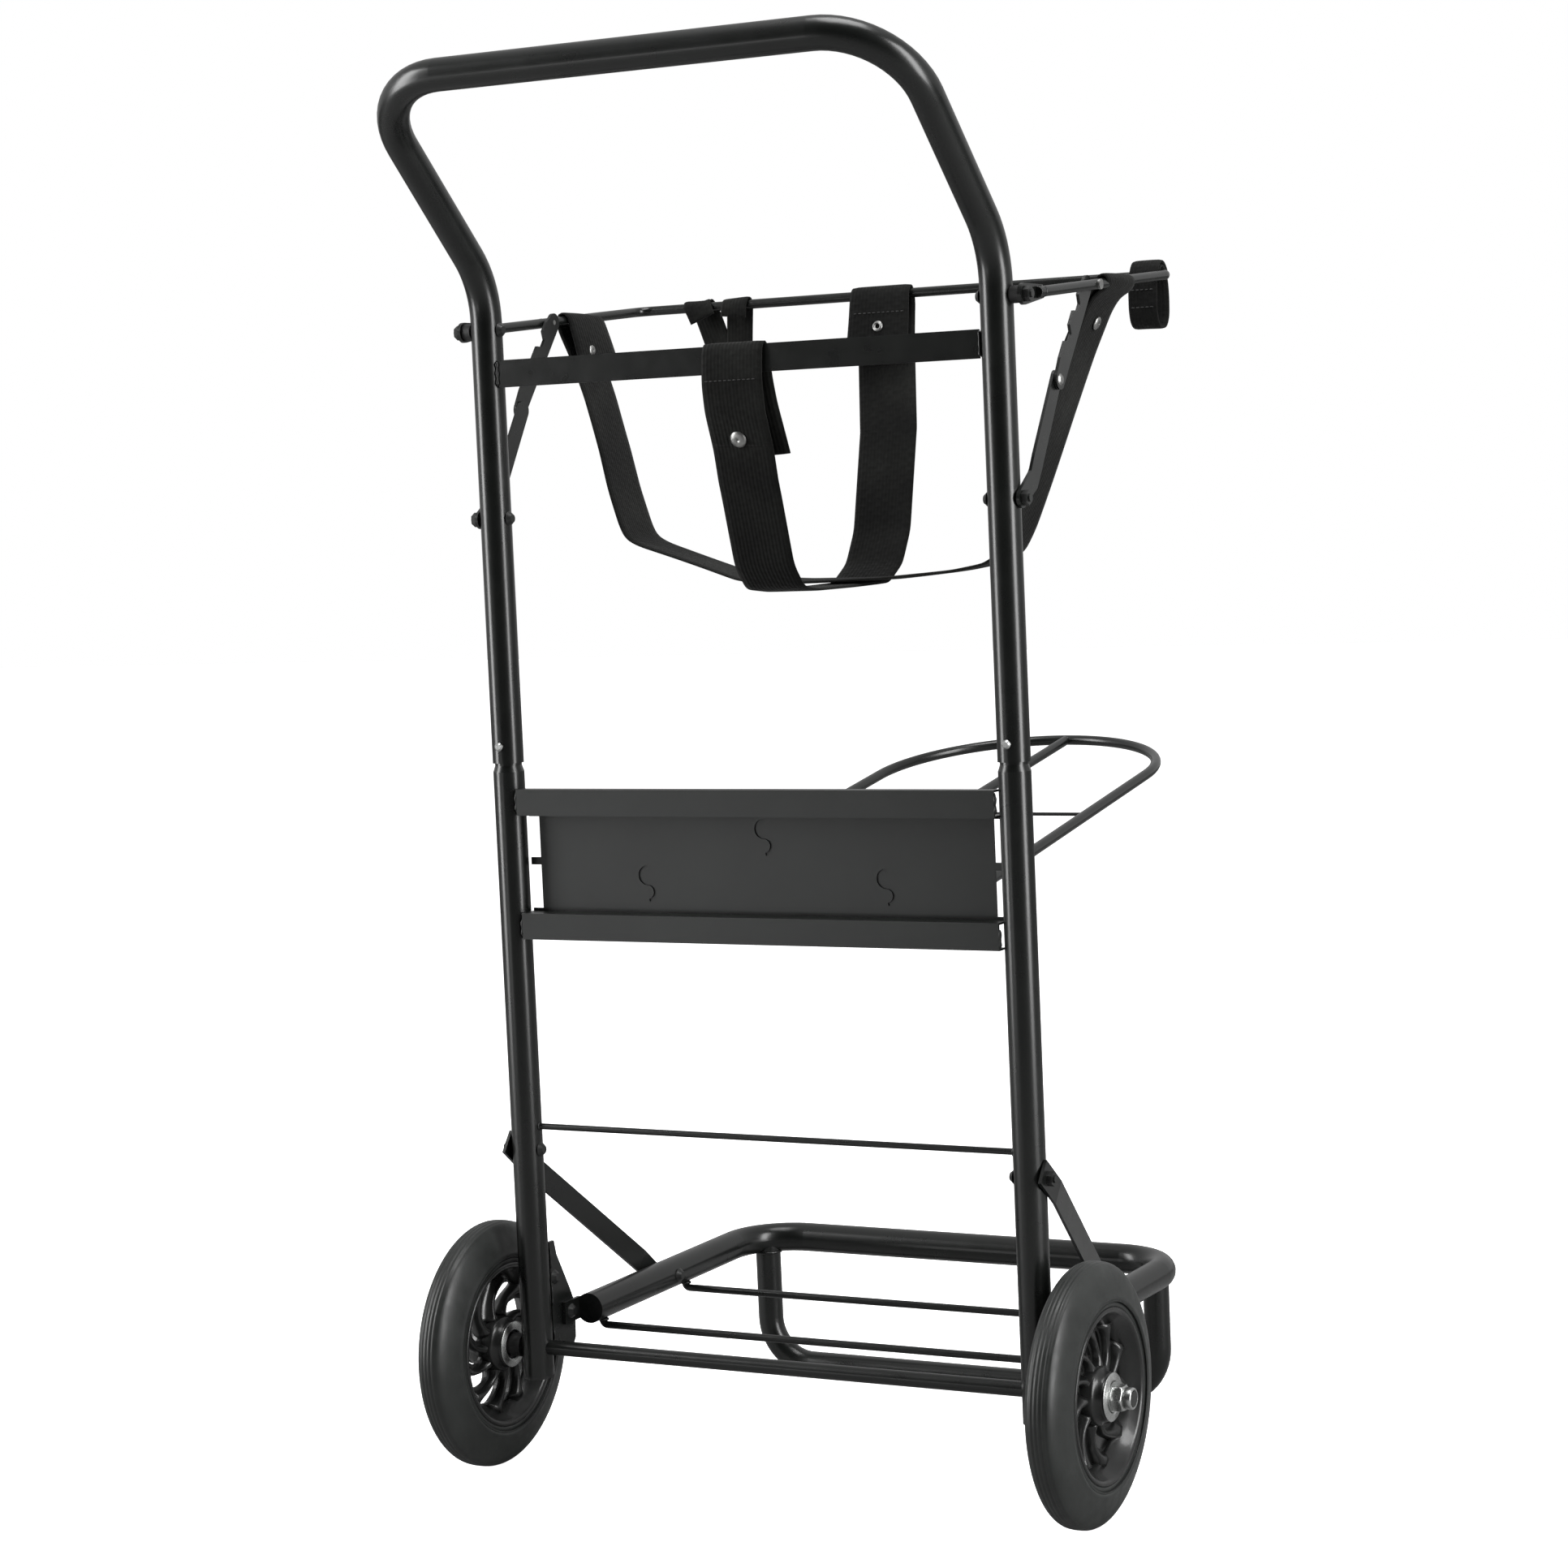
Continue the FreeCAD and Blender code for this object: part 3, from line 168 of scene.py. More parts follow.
def object_noise(nodes, links, scale, detail=3.0, stretch=(1, 1, 1)):
    """Noise in object coordinates; returns its factor socket."""
    place = nodes.new("ShaderNodeTexCoord")
    mapping = nodes.new("ShaderNodeMapping")
    mapping.inputs["Scale"].default_value = stretch
    noise = nodes.new("ShaderNodeTexNoise")
    noise.inputs["Scale"].default_value = scale
    noise.inputs["Detail"].default_value = detail
    links.new(place.outputs["Object"], mapping.inputs["Vector"])
    links.new(mapping.outputs["Vector"], noise.inputs["Vector"])
    return noise.outputs["Fac"]


def ramp(nodes, links, factor, stops):
    """Colour ramp; stops are (position, colour)."""
    node = nodes.new("ShaderNodeValToRGB")
    elements = node.color_ramp.elements
    while len(elements) < len(stops):
        elements.new(0.5)
    for element, (position, color) in zip(elements, stops):
        element.position = position
        element.color = (*color, 1)
    links.new(factor, node.inputs["Fac"])
    return node.outputs["Color"]


def spread(nodes, links, factor, low, high):
    """Maps the middle half of a 0 to 1 factor onto a range of values."""
    node = nodes.new("ShaderNodeMapRange")
    node.inputs["From Min"].default_value = 0.25
    node.inputs["From Max"].default_value = 0.75
    node.inputs["To Min"].default_value = low
    node.inputs["To Max"].default_value = high
    links.new(factor, node.inputs["Value"])
    return node.outputs["Result"]


def add_bump(nodes, links, shader, height, strength, distance):
    """Bump from a height socket."""
    bump = nodes.new("ShaderNodeBump")
    bump.inputs["Strength"].default_value = strength
    bump.inputs["Distance"].default_value = distance
    links.new(height, bump.inputs["Height"])
    links.new(bump.outputs["Normal"], shader.inputs["Normal"])


def floor_paint():
    """Plain pale floor that stays white to the camera and dim in reflections."""
    material, nodes, links, shader = new_material("Pale_floor", (0.9, 0.9, 0.9), 0.75)
    tones = [(0.3, (0.88, 0.88, 0.88)), (0.7, (0.91, 0.91, 0.91))]
    links.new(ramp(nodes, links, object_noise(nodes, links, 1.5), tones), shader.inputs["Base Color"])
    shader.inputs["Emission Color"].default_value = (1, 1, 1, 1)
    shader.inputs["Emission Strength"].default_value = 1.0
    dim = nodes.new("ShaderNodeBsdfDiffuse")
    dim.inputs["Color"].default_value = (0.3, 0.3, 0.3, 1)
    rays = nodes.new("ShaderNodeLightPath")
    mix = nodes.new("ShaderNodeMixShader")
    links.new(rays.outputs["Is Camera Ray"], mix.inputs["Fac"])
    links.new(dim.outputs["BSDF"], mix.inputs[1])
    links.new(shader.outputs["BSDF"], mix.inputs[2])
    links.new(mix.outputs["Shader"], nodes["Material Output"].inputs["Surface"])
    return material


def coated_steel(name, low, high, rough_low, rough_high, peel):
    """Black powder coat: cloudy tone, uneven gloss and a fine orange peel."""
    material, nodes, links, shader = new_material(name, high, rough_low)
    cloud = object_noise(nodes, links, 14.0, 4.0)
    links.new(ramp(nodes, links, cloud, [(0.3, low), (0.7, high)]), shader.inputs["Base Color"])
    gloss = object_noise(nodes, links, 60.0, 3.0)
    links.new(spread(nodes, links, gloss, rough_low, rough_high), shader.inputs["Roughness"])
    shader.inputs["Coat Weight"].default_value = 0.2
    shader.inputs["Coat Roughness"].default_value = 0.18
    add_bump(nodes, links, shader, object_noise(nodes, links, 1400.0, 1.0), peel, 0.0002)
    return material


def bright_steel(name, color, rough):
    """Zinc-plated steel: brushed roughness and faint stains."""
    material, nodes, links, shader = new_material(name, color, rough, 1.0)
    stain = object_noise(nodes, links, 130.0, 4.0)
    darker = tuple(value * 0.72 for value in color)
    links.new(ramp(nodes, links, stain, [(0.35, darker), (0.62, color)]), shader.inputs["Base Color"])
    brush = object_noise(nodes, links, 900.0, 2.0, (1, 6, 6))
    links.new(spread(nodes, links, brush, rough * 0.75, rough * 1.5), shader.inputs["Roughness"])
    add_bump(nodes, links, shader, brush, 0.08, 0.0001)
    return material


def rubber():
    """Matte tyre rubber with dusty patches and a fine grain."""
    material, nodes, links, shader = new_material("Tyre_rubber", (0.02, 0.021, 0.021), 0.6)
    dust = object_noise(nodes, links, 22.0, 6.0)
    tones = [(0.35, (0.013, 0.0145, 0.0135)), (0.6, (0.021, 0.0232, 0.0218)), (0.8, (0.032, 0.0345, 0.033))]
    links.new(ramp(nodes, links, dust, tones), shader.inputs["Base Color"])
    links.new(spread(nodes, links, object_noise(nodes, links, 90.0), 0.33, 0.5), shader.inputs["Roughness"])
    add_bump(nodes, links, shader, object_noise(nodes, links, 1800.0, 2.0), 0.25, 0.0002)
    return material


def moulded(name, color, rough, coat):
    """Moulded plastic with a faint flow pattern."""
    material, nodes, links, shader = new_material(name, color, rough)
    flow = object_noise(nodes, links, 35.0, 3.0)
    darker = tuple(value * 0.6 for value in color)
    links.new(ramp(nodes, links, flow, [(0.3, darker), (0.7, color)]), shader.inputs["Base Color"])
    gloss = object_noise(nodes, links, 120.0)
    links.new(spread(nodes, links, gloss, rough * 0.8, rough * 1.3), shader.inputs["Roughness"])
    shader.inputs["Coat Weight"].default_value = coat
    shader.inputs["Coat Roughness"].default_value = 0.12
    add_bump(nodes, links, shader, object_noise(nodes, links, 700.0, 2.0), 0.1, 0.0002)
    return material


def weave_height(nodes, links):
    """Height of a weave: ribs along the belt plus two slanted sets of picks multiplied together."""
    uv = nodes.new("ShaderNodeTexCoord")
    waves = []
    for angle, per_metre in ((0.0, 620.0), (62.0, 300.0), (-62.0, 300.0)):
        mapping = nodes.new("ShaderNodeMapping")
        mapping.inputs["Rotation"].default_value[2] = math.radians(angle)
        wave = nodes.new("ShaderNodeTexWave")
        wave.bands_direction = "Y"
        wave.inputs["Distortion"].default_value = 0.4
        wave.inputs["Scale"].default_value = per_metre / 6.283
        links.new(uv.outputs["UV"], mapping.inputs["Vector"])
        links.new(mapping.outputs["Vector"], wave.inputs["Vector"])
        waves.append(wave.outputs["Fac"])
    ribs, picks_left, picks_right = waves
    picks = nodes.new("ShaderNodeMath")
    picks.operation = "MULTIPLY"
    links.new(picks_left, picks.inputs[0])
    links.new(picks_right, picks.inputs[1])
    total = nodes.new("ShaderNodeMath")
    total.operation = "ADD"
    links.new(ribs, total.inputs[0])
    links.new(picks.outputs["Value"], total.inputs[1])
    return total.outputs["Value"]


def webbing_material():
    """Heavy black webbing: a coarse weave with lint and fading."""
    material, nodes, links, shader = new_material("Black_webbing", (0.012, 0.012, 0.012), 0.9)
    height = weave_height(nodes, links)
    lint = object_noise(nodes, links, 260.0, 5.0)
    fade = object_noise(nodes, links, 16.0, 3.0)
    wear = nodes.new("ShaderNodeMath")
    wear.operation = "MULTIPLY_ADD"
    wear.inputs[1].default_value = 0.35
    links.new(lint, wear.inputs[0])
    links.new(fade, wear.inputs[2])
    tones = [(0.5, (0.0025, 0.0026, 0.0024)),
             (0.7, (0.0062, 0.0064, 0.0058)),
             (0.95, (0.014, 0.0145, 0.0132))]
    links.new(ramp(nodes, links, wear.outputs["Value"], tones), shader.inputs["Base Color"])
    shader.inputs["Sheen Weight"].default_value = 0.04
    shader.inputs["Sheen Roughness"].default_value = 0.5
    shader.inputs["Specular IOR Level"].default_value = 0.18
    add_bump(nodes, links, shader, height, 0.55, 0.0005)
    return material


def thread_material():
    """Bonded black thread, a little shinier than the webbing."""
    material, nodes, links, shader = new_material("Thread", (0.03, 0.03, 0.03), 0.5)
    twist = object_noise(nodes, links, 1500.0, 2.0)
    tones = [(0.3, (0.015, 0.015, 0.015)), (0.7, (0.05, 0.05, 0.05))]
    links.new(ramp(nodes, links, twist, tones), shader.inputs["Base Color"])
    return material


# ---- mesh helpers --------------------------------------------------------------------------------

def add_mesh(name, bm, material, smooth=True):
    """Object from a bmesh, with outward normals and one material."""
    bmesh.ops.recalc_face_normals(bm, faces=bm.faces)
    mesh = bpy.data.meshes.new(name)
    bm.to_mesh(mesh)
    bm.free()
    mesh.materials.append(material)
    for face in mesh.polygons:
        face.use_smooth = smooth
    obj = bpy.data.objects.new(name, mesh)
    bpy.context.collection.objects.link(obj)
    return obj


def piece(obj, body, slot, *nodes):
    """Puts a finished piece on its body and hides the nodes it stands for; slot is not used."""
    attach(obj, body)
    if nodes:
        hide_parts(*nodes)
    return obj


def rounded_path(points, step, passes):
    """Evenly spaced points along a given line, with its corners eased."""
    line = [Vector(point) for point in points]
    dense = []
    for start, end in zip(line, line[1:]):
        count = max(1, round((end - start).length / step))
        dense += [start.lerp(end, index / count) for index in range(count)]
    dense.append(line[-1])
    for _ in range(passes):
        inner = [(a + b * 2 + c) / 4 for a, b, c in zip(dense, dense[1:], dense[2:])]
        dense = [dense[0]] + inner + [dense[-1]]
    return dense


def width_at(width, share):
    """Width of a ribbon at a share of its length; width is a number or a function of that share."""
    return width(share) if callable(width) else width


def ribbon(name, path, across, width, thick, material, sway=0.0):
    """Flat webbing along a path; across is the direction of its width, and sway lifts its edges in waves."""
    bm = bmesh.new()
    uv = bm.loops.layers.uv.new("UVMap")
    columns, edge = 10, 0.5
    rings, lengths, travelled = [], [], 0.0
    phase = random.uniform(0, 6)
    for index, point in enumerate(path):
        ahead = path[min(index + 1, len(path) - 1)]
        behind = path[max(index - 1, 0)]
        run = (ahead - behind).normalized()
        if index:
            travelled += (point - path[index - 1]).length
        wide = width_at(width, index / (len(path) - 1))
        side = (across - run * across.dot(run)).normalized()
        normal = run.cross(side).normalized()
        outline = []
        for face in (1, -1):
            for column in range(columns + 1):
                t = (column / columns * 2 - 1) * face
                crown = math.sqrt(max(0.0, 1 - abs(t) ** 8)) * (1 - edge) + edge if abs(t) < 1 else edge
                wave = sway * math.sin(travelled * 38 + phase + t * 1.3)
                outline.append(point + side * (t * wide / 2) + normal * (face * thick / 2 * crown + wave))
        rings.append([bm.verts.new(place) for place in outline])
        lengths.append(travelled)
    around = len(rings[0])
    flat = [column / columns if column <= columns else 1 - (column - columns - 1) / columns
            for column in range(around)]
    uv_width = width_at(width, 0.5)
    for row in range(len(rings) - 1):
        for column in range(around):
            following = (column + 1) % around
            face = bm.faces.new((rings[row][column], rings[row][following],
                                 rings[row + 1][following], rings[row + 1][column]))
            values = ((column, row), (following, row), (following, row + 1), (column, row + 1))
            for loop, (c, r) in zip(face.loops, values):
                loop[uv].uv = (lengths[r], flat[c] * uv_width)
    bm.faces.new(rings[0])
    bm.faces.new(rings[-1][::-1])
    return add_mesh(name, bm, material)


def skin(bm, rows):
    """Closed skin over a row of rings, capped at both ends."""
    for first, second in zip(rows, rows[1:]):
        for k in range(len(first)):
            following = (k + 1) % len(first)
            bm.faces.new((first[k], first[following], second[following], second[k]))
    bm.faces.new(rows[0][::-1])
    bm.faces.new(rows[-1])


def lathe(bm, profile, base, segments=64, inset=None):
    """Ring turned about the base's Z axis.

    profile is a closed list of (radius, height); inset gives the change of a radius at an angle.
    """
    rings = []
    for index in range(segments):
        angle = math.tau * index / segments
        ring = []
        for radius, height in profile:
            r = radius + (inset(angle, radius) if inset else 0.0)
            ring.append(bm.verts.new(base @ Vector((r * math.cos(angle), r * math.sin(angle), height))))
        rings.append(ring)
    for index in range(segments):
        first, second = rings[index], rings[(index + 1) % segments]
        for k in range(len(profile)):
            following = (k + 1) % len(profile)
            bm.faces.new((first[k], second[k], second[following], first[following]))


def frame_at(place, axis):
    """Matrix whose local Z is the axis and whose origin is the place."""
    return Matrix.Translation(place) @ axis.to_track_quat("Z", "Y").to_matrix().to_4x4()


def arc_points(cx, cy, radius, start, end, count):
    """Points along an arc, in degrees."""
    angles = [math.radians(start + (end - start) * i / (count - 1)) for i in range(count)]
    return [(cx + radius * math.cos(a), cy + radius * math.sin(a)) for a in angles]


# ---- wheels --------------------------------------------------------------------------------------

# Spokes in a rim, and the radii between which their windows are open.
SPOKES = 10
WINDOW_R_IN, WINDOW_R_OUT = 0.022, 0.0535


def wheel_base(sign):
    """Matrix at the middle of a wheel, with Z outwards along the axle."""
    return frame_at(Vector((sign * WHEEL_X, AXLE.y, AXLE.z)), X_AXIS * sign)


def spoke_sweep(share):
    """Angle that a spoke has turned through between the hub (0) and the bead ring (1)."""
    return 0.50 * math.sin(share * math.pi / 2) * share


def tyre(side, sign, material):
    """Tyre with a round crown, circumferential tread lines and stepped sidewalls."""
    low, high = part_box("tyre_" + side)
    outer, half = (high[2] - low[2]) / 2, (high[0] - low[0]) / 2
    inner, shoulder_drop = 0.0665, 0.0245
    line_depth, line_half_width = 0.0004, 0.03
    crown = []
    steps = 46
    for index in range(steps + 1):
        t = index / steps * 2 - 1
        radius = outer - shoulder_drop * abs(t) ** 3.4
        for line in (0.0, 0.2, 0.4):
            if abs(abs(t) - line) < line_half_width:
                radius -= line_depth
        crown.append((radius, t * (half - 0.0006)))
    step = outer - shoulder_drop
    wall = [(step - 0.001, half - 0.0002), (step - 0.003, half), (step - 0.0036, half - 0.0009),
            (step - 0.0044, half - 0.0009), (step - 0.005, half), (inner + 0.006, half - 0.0012),
            (inner + 0.0045, half - 0.0028), (inner + 0.003, half - 0.0012), (inner, half - 0.0018)]
    profile = crown + wall + [(r, -z) for r, z in reversed(wall)]
    bm = bmesh.new()
    lathe(bm, profile, wheel_base(sign), 128)
    obj = add_mesh("Tyre_" + side, bm, material)
    piece(obj, "wheel_" + side, "tyre_rubber", "tyre_" + side)


def spoke_half_width(share):
    """Half thickness of a spoke between the hub (0) and the bead ring (1)."""
    return 0.0017 + 0.0026 * (share * 2 - 1) ** 4 + 0.0022 * share ** 3


def spoke_ring(bm, base, turn, share):
    """Outline of one spoke at a share of its reach, leaning and with rounded edges."""
    reach_in, reach_out = 0.0205, 0.0545
    radius = reach_in + (reach_out - reach_in) * share
    bend = turn + spoke_sweep(share)
    half_depth = 0.0085 - 0.0028 * math.sin(share * math.pi)
    half_width = spoke_half_width(share)
    middle = Vector((radius * math.cos(bend), radius * math.sin(bend), 0))
    out = Vector((math.cos(bend), math.sin(bend), 0))
    lean = (Z_AXIS.cross(out) - out * 0.45).normalized()
    outline = ((-1, -0.7), (-0.55, -1), (0.55, -1), (1, -0.7), (1.6, -0.16), (1.6, 0.16),
               (1, 0.7), (0.55, 1), (-0.55, 1), (-1, 0.7), (-1.6, 0.16), (-1.6, -0.16))
    return [bm.verts.new(base @ (middle + lean * (u * half_width) + Z_AXIS * (v * half_depth)))
            for u, v in outline]


def rim(side, sign, material):
    """Deep moulded rim: bead ring with a rolled lip, ten swept spokes and a stepped hub."""
    base = wheel_base(sign)
    bm = bmesh.new()
    half = 0.0165
    lip = [(0.0668, half), (0.0655, half + 0.0008), (0.0635, half + 0.0004), (0.0622, half - 0.0012),
           (0.0592, 0.0095), (0.0525, 0.0035)]
    mirrored_lip = [(r, -z) for r, z in lip]
    lathe(bm, mirrored_lip[:1] + lip + mirrored_lip[:0:-1], base, 96)
    hub = [(0.0142, 0.018), (0.0165, 0.018), (0.0178, 0.0172), (0.0184, 0.0158), (0.0192, 0.012),
           (0.0212, 0.0108), (0.0222, 0.0095)]
    lathe(bm, hub + [(0.0228, 0.0)] + [(r, -z) for r, z in reversed(hub)], base, 64)
    steps = 12
    for spoke in range(SPOKES):
        turn = math.tau * spoke / SPOKES
        skin(bm, [spoke_ring(bm, base, turn, index / steps) for index in range(steps + 1)])
    obj = add_mesh("Rim_" + side, bm, material)
    piece(obj, "wheel_" + side, "rim_plastic", "rim_" + side)
    web(side, base, material)


def web(side, base, material):
    """Thin webs that narrow the windows between the spokes to leaf shapes."""
    bm = bmesh.new()
    count, half_thick = 16, 0.0012
    for spoke in range(SPOKES):
        start = math.tau * spoke / SPOKES
        spoke_edge, window_edge = [], []
        for index in range(count + 1):
            share = index / count
            radius = WINDOW_R_IN + (WINDOW_R_OUT - WINDOW_R_IN) * share
            bend = start + spoke_sweep(share)
            cover = 0.34 + 0.5 * (2 * share - 1) ** 6
            spoke_edge.append((radius, bend))
            window_edge.append((radius, bend + math.tau / SPOKES * min(1.0, cover)))
        faces = []
        for height in (half_thick, -half_thick):
            first, second = ([bm.verts.new(base @ Vector((r * math.cos(a), r * math.sin(a), height)))
                              for r, a in edge] for edge in (spoke_edge, window_edge))
            faces.append((first, second))
            for index in range(count):
                bm.faces.new((first[index], first[index + 1], second[index + 1], second[index]))
        upper, lower = faces
        for above, below in zip(upper, lower):
            for index in range(count):
                bm.faces.new((above[index], above[index + 1], below[index + 1], below[index]))
        for end in (0, count):
            bm.faces.new((upper[0][end], upper[1][end], lower[1][end], lower[0][end]))
    obj = add_mesh("Rim_web_" + side, bm, material, smooth=False)
    piece(obj, "wheel_" + side, "rim_plastic")


def bearings(side, sign, steel, seal):
    """Ball bearings at both ends of the hub: bright races, the outer one flanged, and a dark seal."""
    races, seals = bmesh.new(), bmesh.new()
    deep = -0.0078
    outer_race = [(0.0118, deep), (0.01395, deep), (0.01395, 0.0001), (0.0180, 0.0001), (0.0185, 0.0005),
                  (0.0180, 0.0010), (0.0142, 0.0012), (0.0136, 0.0018), (0.0126, 0.0018), (0.0118, 0.0009)]
    inner_race = [(0.0061, deep), (0.0082, deep), (0.0082, -0.0003), (0.008, 0), (0.0064, 0),
                  (0.0061, -0.0003)]
    seal_ring = [(0.0082, deep), (0.0118, deep), (0.0118, -0.0007), (0.0105, -0.0005), (0.0089, -0.0005),
                 (0.0082, -0.0007)]
    for end in (-1, 1):
        face = WHEEL_X + end * 0.018
        base = frame_at(Vector((sign * face, AXLE.y, AXLE.z)), X_AXIS * sign * end)
        lathe(races, outer_race, base)
        lathe(races, inner_race, base)
        lathe(seals, seal_ring, base)
    outer = add_mesh("Bearing_races_" + side, races, steel)
    piece(outer, "wheel_" + side, "zinc_steel", "bearings_" + side)
    piece(add_mesh("Bearing_seals_" + side, seals, seal), "wheel_" + side, "black_plastic")


def to_flats(angle, radius):
    """Change of radius that puts a point of a turned nut on its nearest flat; the bore stays round."""
    half_across_flats, bore_limit = 0.0092, 0.008
    if radius < bore_limit:
        return 0.0
    part = (angle % (math.pi / 3)) - math.pi / 6
    return min(half_across_flats / math.cos(part), radius) - radius


def axle_nuts(steel):
    """Chamfered hexagon nuts on the threaded ends of the axle."""
    bm = bmesh.new()
    outer_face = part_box("axle_nuts")[1][0]
    thick = 0.009
    profile = [(0.0061, 0.0), (0.0097, 0.0), (0.0106, 0.0007), (0.0106, thick - 0.0018),
               (0.0102, thick - 0.0012), (0.0094, thick - 0.0006), (0.0088, thick - 0.0003),
               (0.0078, thick), (0.0068, thick), (0.0061, thick - 0.0005)]
    for sign in (-1, 1):
        base = frame_at(Vector((sign * (outer_face - thick), AXLE.y, AXLE.z)), X_AXIS * sign)
        lathe(bm, profile, base, 72, to_flats)
    piece(add_mesh("Axle_nuts", bm, steel), "cart_frame", "zinc_steel", "axle_nuts")


def axle_caps(steel):
    """Bright rolled sleeves round the ends of the axle."""
    bm = bmesh.new()
    profile = [(0.0061, 0.0), (0.0080, 0.0), (0.0083, 0.0007), (0.0083, 0.0058), (0.0080, 0.0068),
               (0.0073, 0.0074), (0.0066, 0.0074), (0.0061, 0.0068)]
    for sign in (-1, 1):
        base = frame_at(Vector((sign * 0.2925, AXLE.y, AXLE.z)), X_AXIS * sign)
        lathe(bm, profile, base, 48)
    piece(add_mesh("Axle_caps", bm, steel), "cart_frame", "zinc_steel")


# ---- rods, welds and small steel -----------------------------------------------------------------

def weld_ring(bm, place, axis, radius, bead):
    """Rippled weld bead round a joint."""
    base = frame_at(place, axis)
    segments, around = 44, 8
    rows = []
    for index in range(segments + 1):
        angle = math.tau * (index / segments)
        swell = bead * (1 + 0.28 * math.sin(angle * 17) + random.uniform(-0.12, 0.12))
        middle = Vector((radius * math.cos(angle), radius * math.sin(angle), 0))
        out = middle.normalized()
        ring = []
        for k in range(around):
            turn = math.tau * k / around
            offset = out * swell * math.cos(turn) + Z_AXIS * swell * math.sin(turn)
            ring.append(bm.verts.new(base @ (middle + offset)))
        rows.append(ring)
    skin(bm, rows)


def weld_line(bm, start, end, bead):
    """Straight rippled weld bead with thin ends."""
    ripple, around = 0.0022, 8
    count = max(4, round((end - start).length / ripple))
    run = (end - start).normalized()
    side = run.orthogonal().normalized()
    up = run.cross(side)
    rows = []
    for index in range(count + 1):
        swell = bead * (1 + 0.3 * math.sin(index * 1.7) + random.uniform(-0.12, 0.12))
        if index in (0, count):
            swell *= 0.4
        point = start.lerp(end, index / count)
        ring = []
        for k in range(around):
            turn = math.tau * k / around
            ring.append(bm.verts.new(point + (side * math.cos(turn) + up * math.sin(turn)) * swell))
        rows.append(ring)
    skin(bm, rows)


def weld_upright(bm, x, y, low, high, bead):
    """Vertical weld bead between two heights."""
    weld_line(bm, Vector((x, y, low)), Vector((x, y, high)), bead)


def welds(material):
    """Weld beads where rods, bars, plates and the panel meet the uprights and the platform."""
    bm = bmesh.new()
    wall = POST_X - TUBE_R
    wire = centre("lower_wire")
    bar_low, bar_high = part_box("flat_crossbar")
    panel_low, panel_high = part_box("back_panel")
    stand_low, stand_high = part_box("stand")
    leg_x, leg_r, leg_top = 0.185, 0.0113, 0.1105
    for side, sign in SIDES:
        weld_ring(bm, Vector((sign * wall, wire.y, wire.z)), X_AXIS * sign, 0.0026, 0.0009)
        x = sign * (wall + 0.0004)
        for y in (bar_low[1] - 0.0002, bar_high[1] + 0.0002):
            weld_upright(bm, x, y, bar_low[2] + 0.001, bar_high[2] - 0.001, 0.0011)
        for low, high in ((panel_low[2] + 0.002, panel_low[2] + 0.016),
                          (panel_high[2] - 0.018, panel_high[2] - 0.002)):
            weld_upright(bm, x, panel_low[1] + 0.001, low, high, 0.0011)
        plate_low, plate_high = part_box("axle_bracket_" + side)
        for edge in (plate_low[0] - 0.0002, plate_high[0] + 0.0002):
            for low, high in ((0.09, 0.112), (0.132, 0.148), (0.162, 0.178)):
                weld_upright(bm, edge, plate_low[1] + 0.0005, low, high, 0.001)
        for rod in ("platform_rod_rear", "platform_rod_front"):
            low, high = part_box(rod)
            stub = Vector((sign * (high[0] - 0.0036), (low[1] + high[1]) / 2, high[2] - 0.0004))
            weld_ring(bm, stub, Z_AXIS, 0.0034, 0.001)
        leg = Vector((sign * leg_x, (stand_low[1] + stand_high[1]) / 2, leg_top))
        weld_ring(bm, leg, Z_AXIS, leg_r, 0.0012)
    piece(add_mesh("Weld_beads", bm, material), "cart_frame", "black_steel")


def sling_welds(material):
    """Beads where the pivot tabs meet the sling rod."""
    bm = bmesh.new()
    for sign in (-1, 1):
        for shift in (0.021, 0.03):
            place = Vector((sign * 0.246, AXLE.y + shift, SLING_PIVOT_Z + shift * 0.08))
            weld_ring(bm, place, Y_AXIS, 0.0036, 0.0009)
    piece(add_mesh("Sling_weld_beads", bm, material), "sling", "black_steel")


# ---- webbing -------------------------------------------------------------------------------------

# The two main belts, and the narrow webbing of the straps.
BELT_WIDE, BELT_THICK = 0.052, 0.0026
TIE_WIDE = 0.0245


def stitch(bm, start, end, lift):
    """Row of short raised stitches between two points; lift is the outward normal."""
    pitch, radius, around = 0.0042, 0.00042, 6
    run = end - start
    count = max(2, round(run.length / pitch))
    run.normalize()
    side = run.cross(lift).normalized()
    for index in range(count):
        middle = start.lerp(end, (index + 0.5) / count)
        rows = []
        for share in (-1.0, -0.6, 0.0, 0.6, 1.0):
            size = radius * math.sqrt(max(0.05, 1 - share ** 2 * 0.95))
            point = middle + run * (share * pitch * 0.36) + lift * (radius * 0.5 * (1 - share ** 2))
            ring = []
            for k in range(around):
                turn = math.tau * k / around
                ring.append(bm.verts.new(point + side * size * math.cos(turn) + lift * size * math.sin(turn)))
            rows.append(ring)
        skin(bm, rows)


def cap_rivet(bm, place, axis, radius, tall):
    """Low domed rivet cap with a rolled rim."""
    dome = [(0.0004, tall), (radius * 0.45, tall * 0.93), (radius * 0.75, tall * 0.72),
            (radius * 0.95, tall * 0.38), (radius, tall * 0.12), (radius * 0.96, -0.0004), (0.0004, -0.0004)]
    lathe(bm, dome, frame_at(place, axis), 40)


def eyelet(bm, place, axis, radius):
    """Rolled ring with an open middle."""
    profile = arc_points(radius * 0.72, 0.0003, radius * 0.3, 0, 330, 12)
    lathe(bm, profile, frame_at(place, axis), 40)


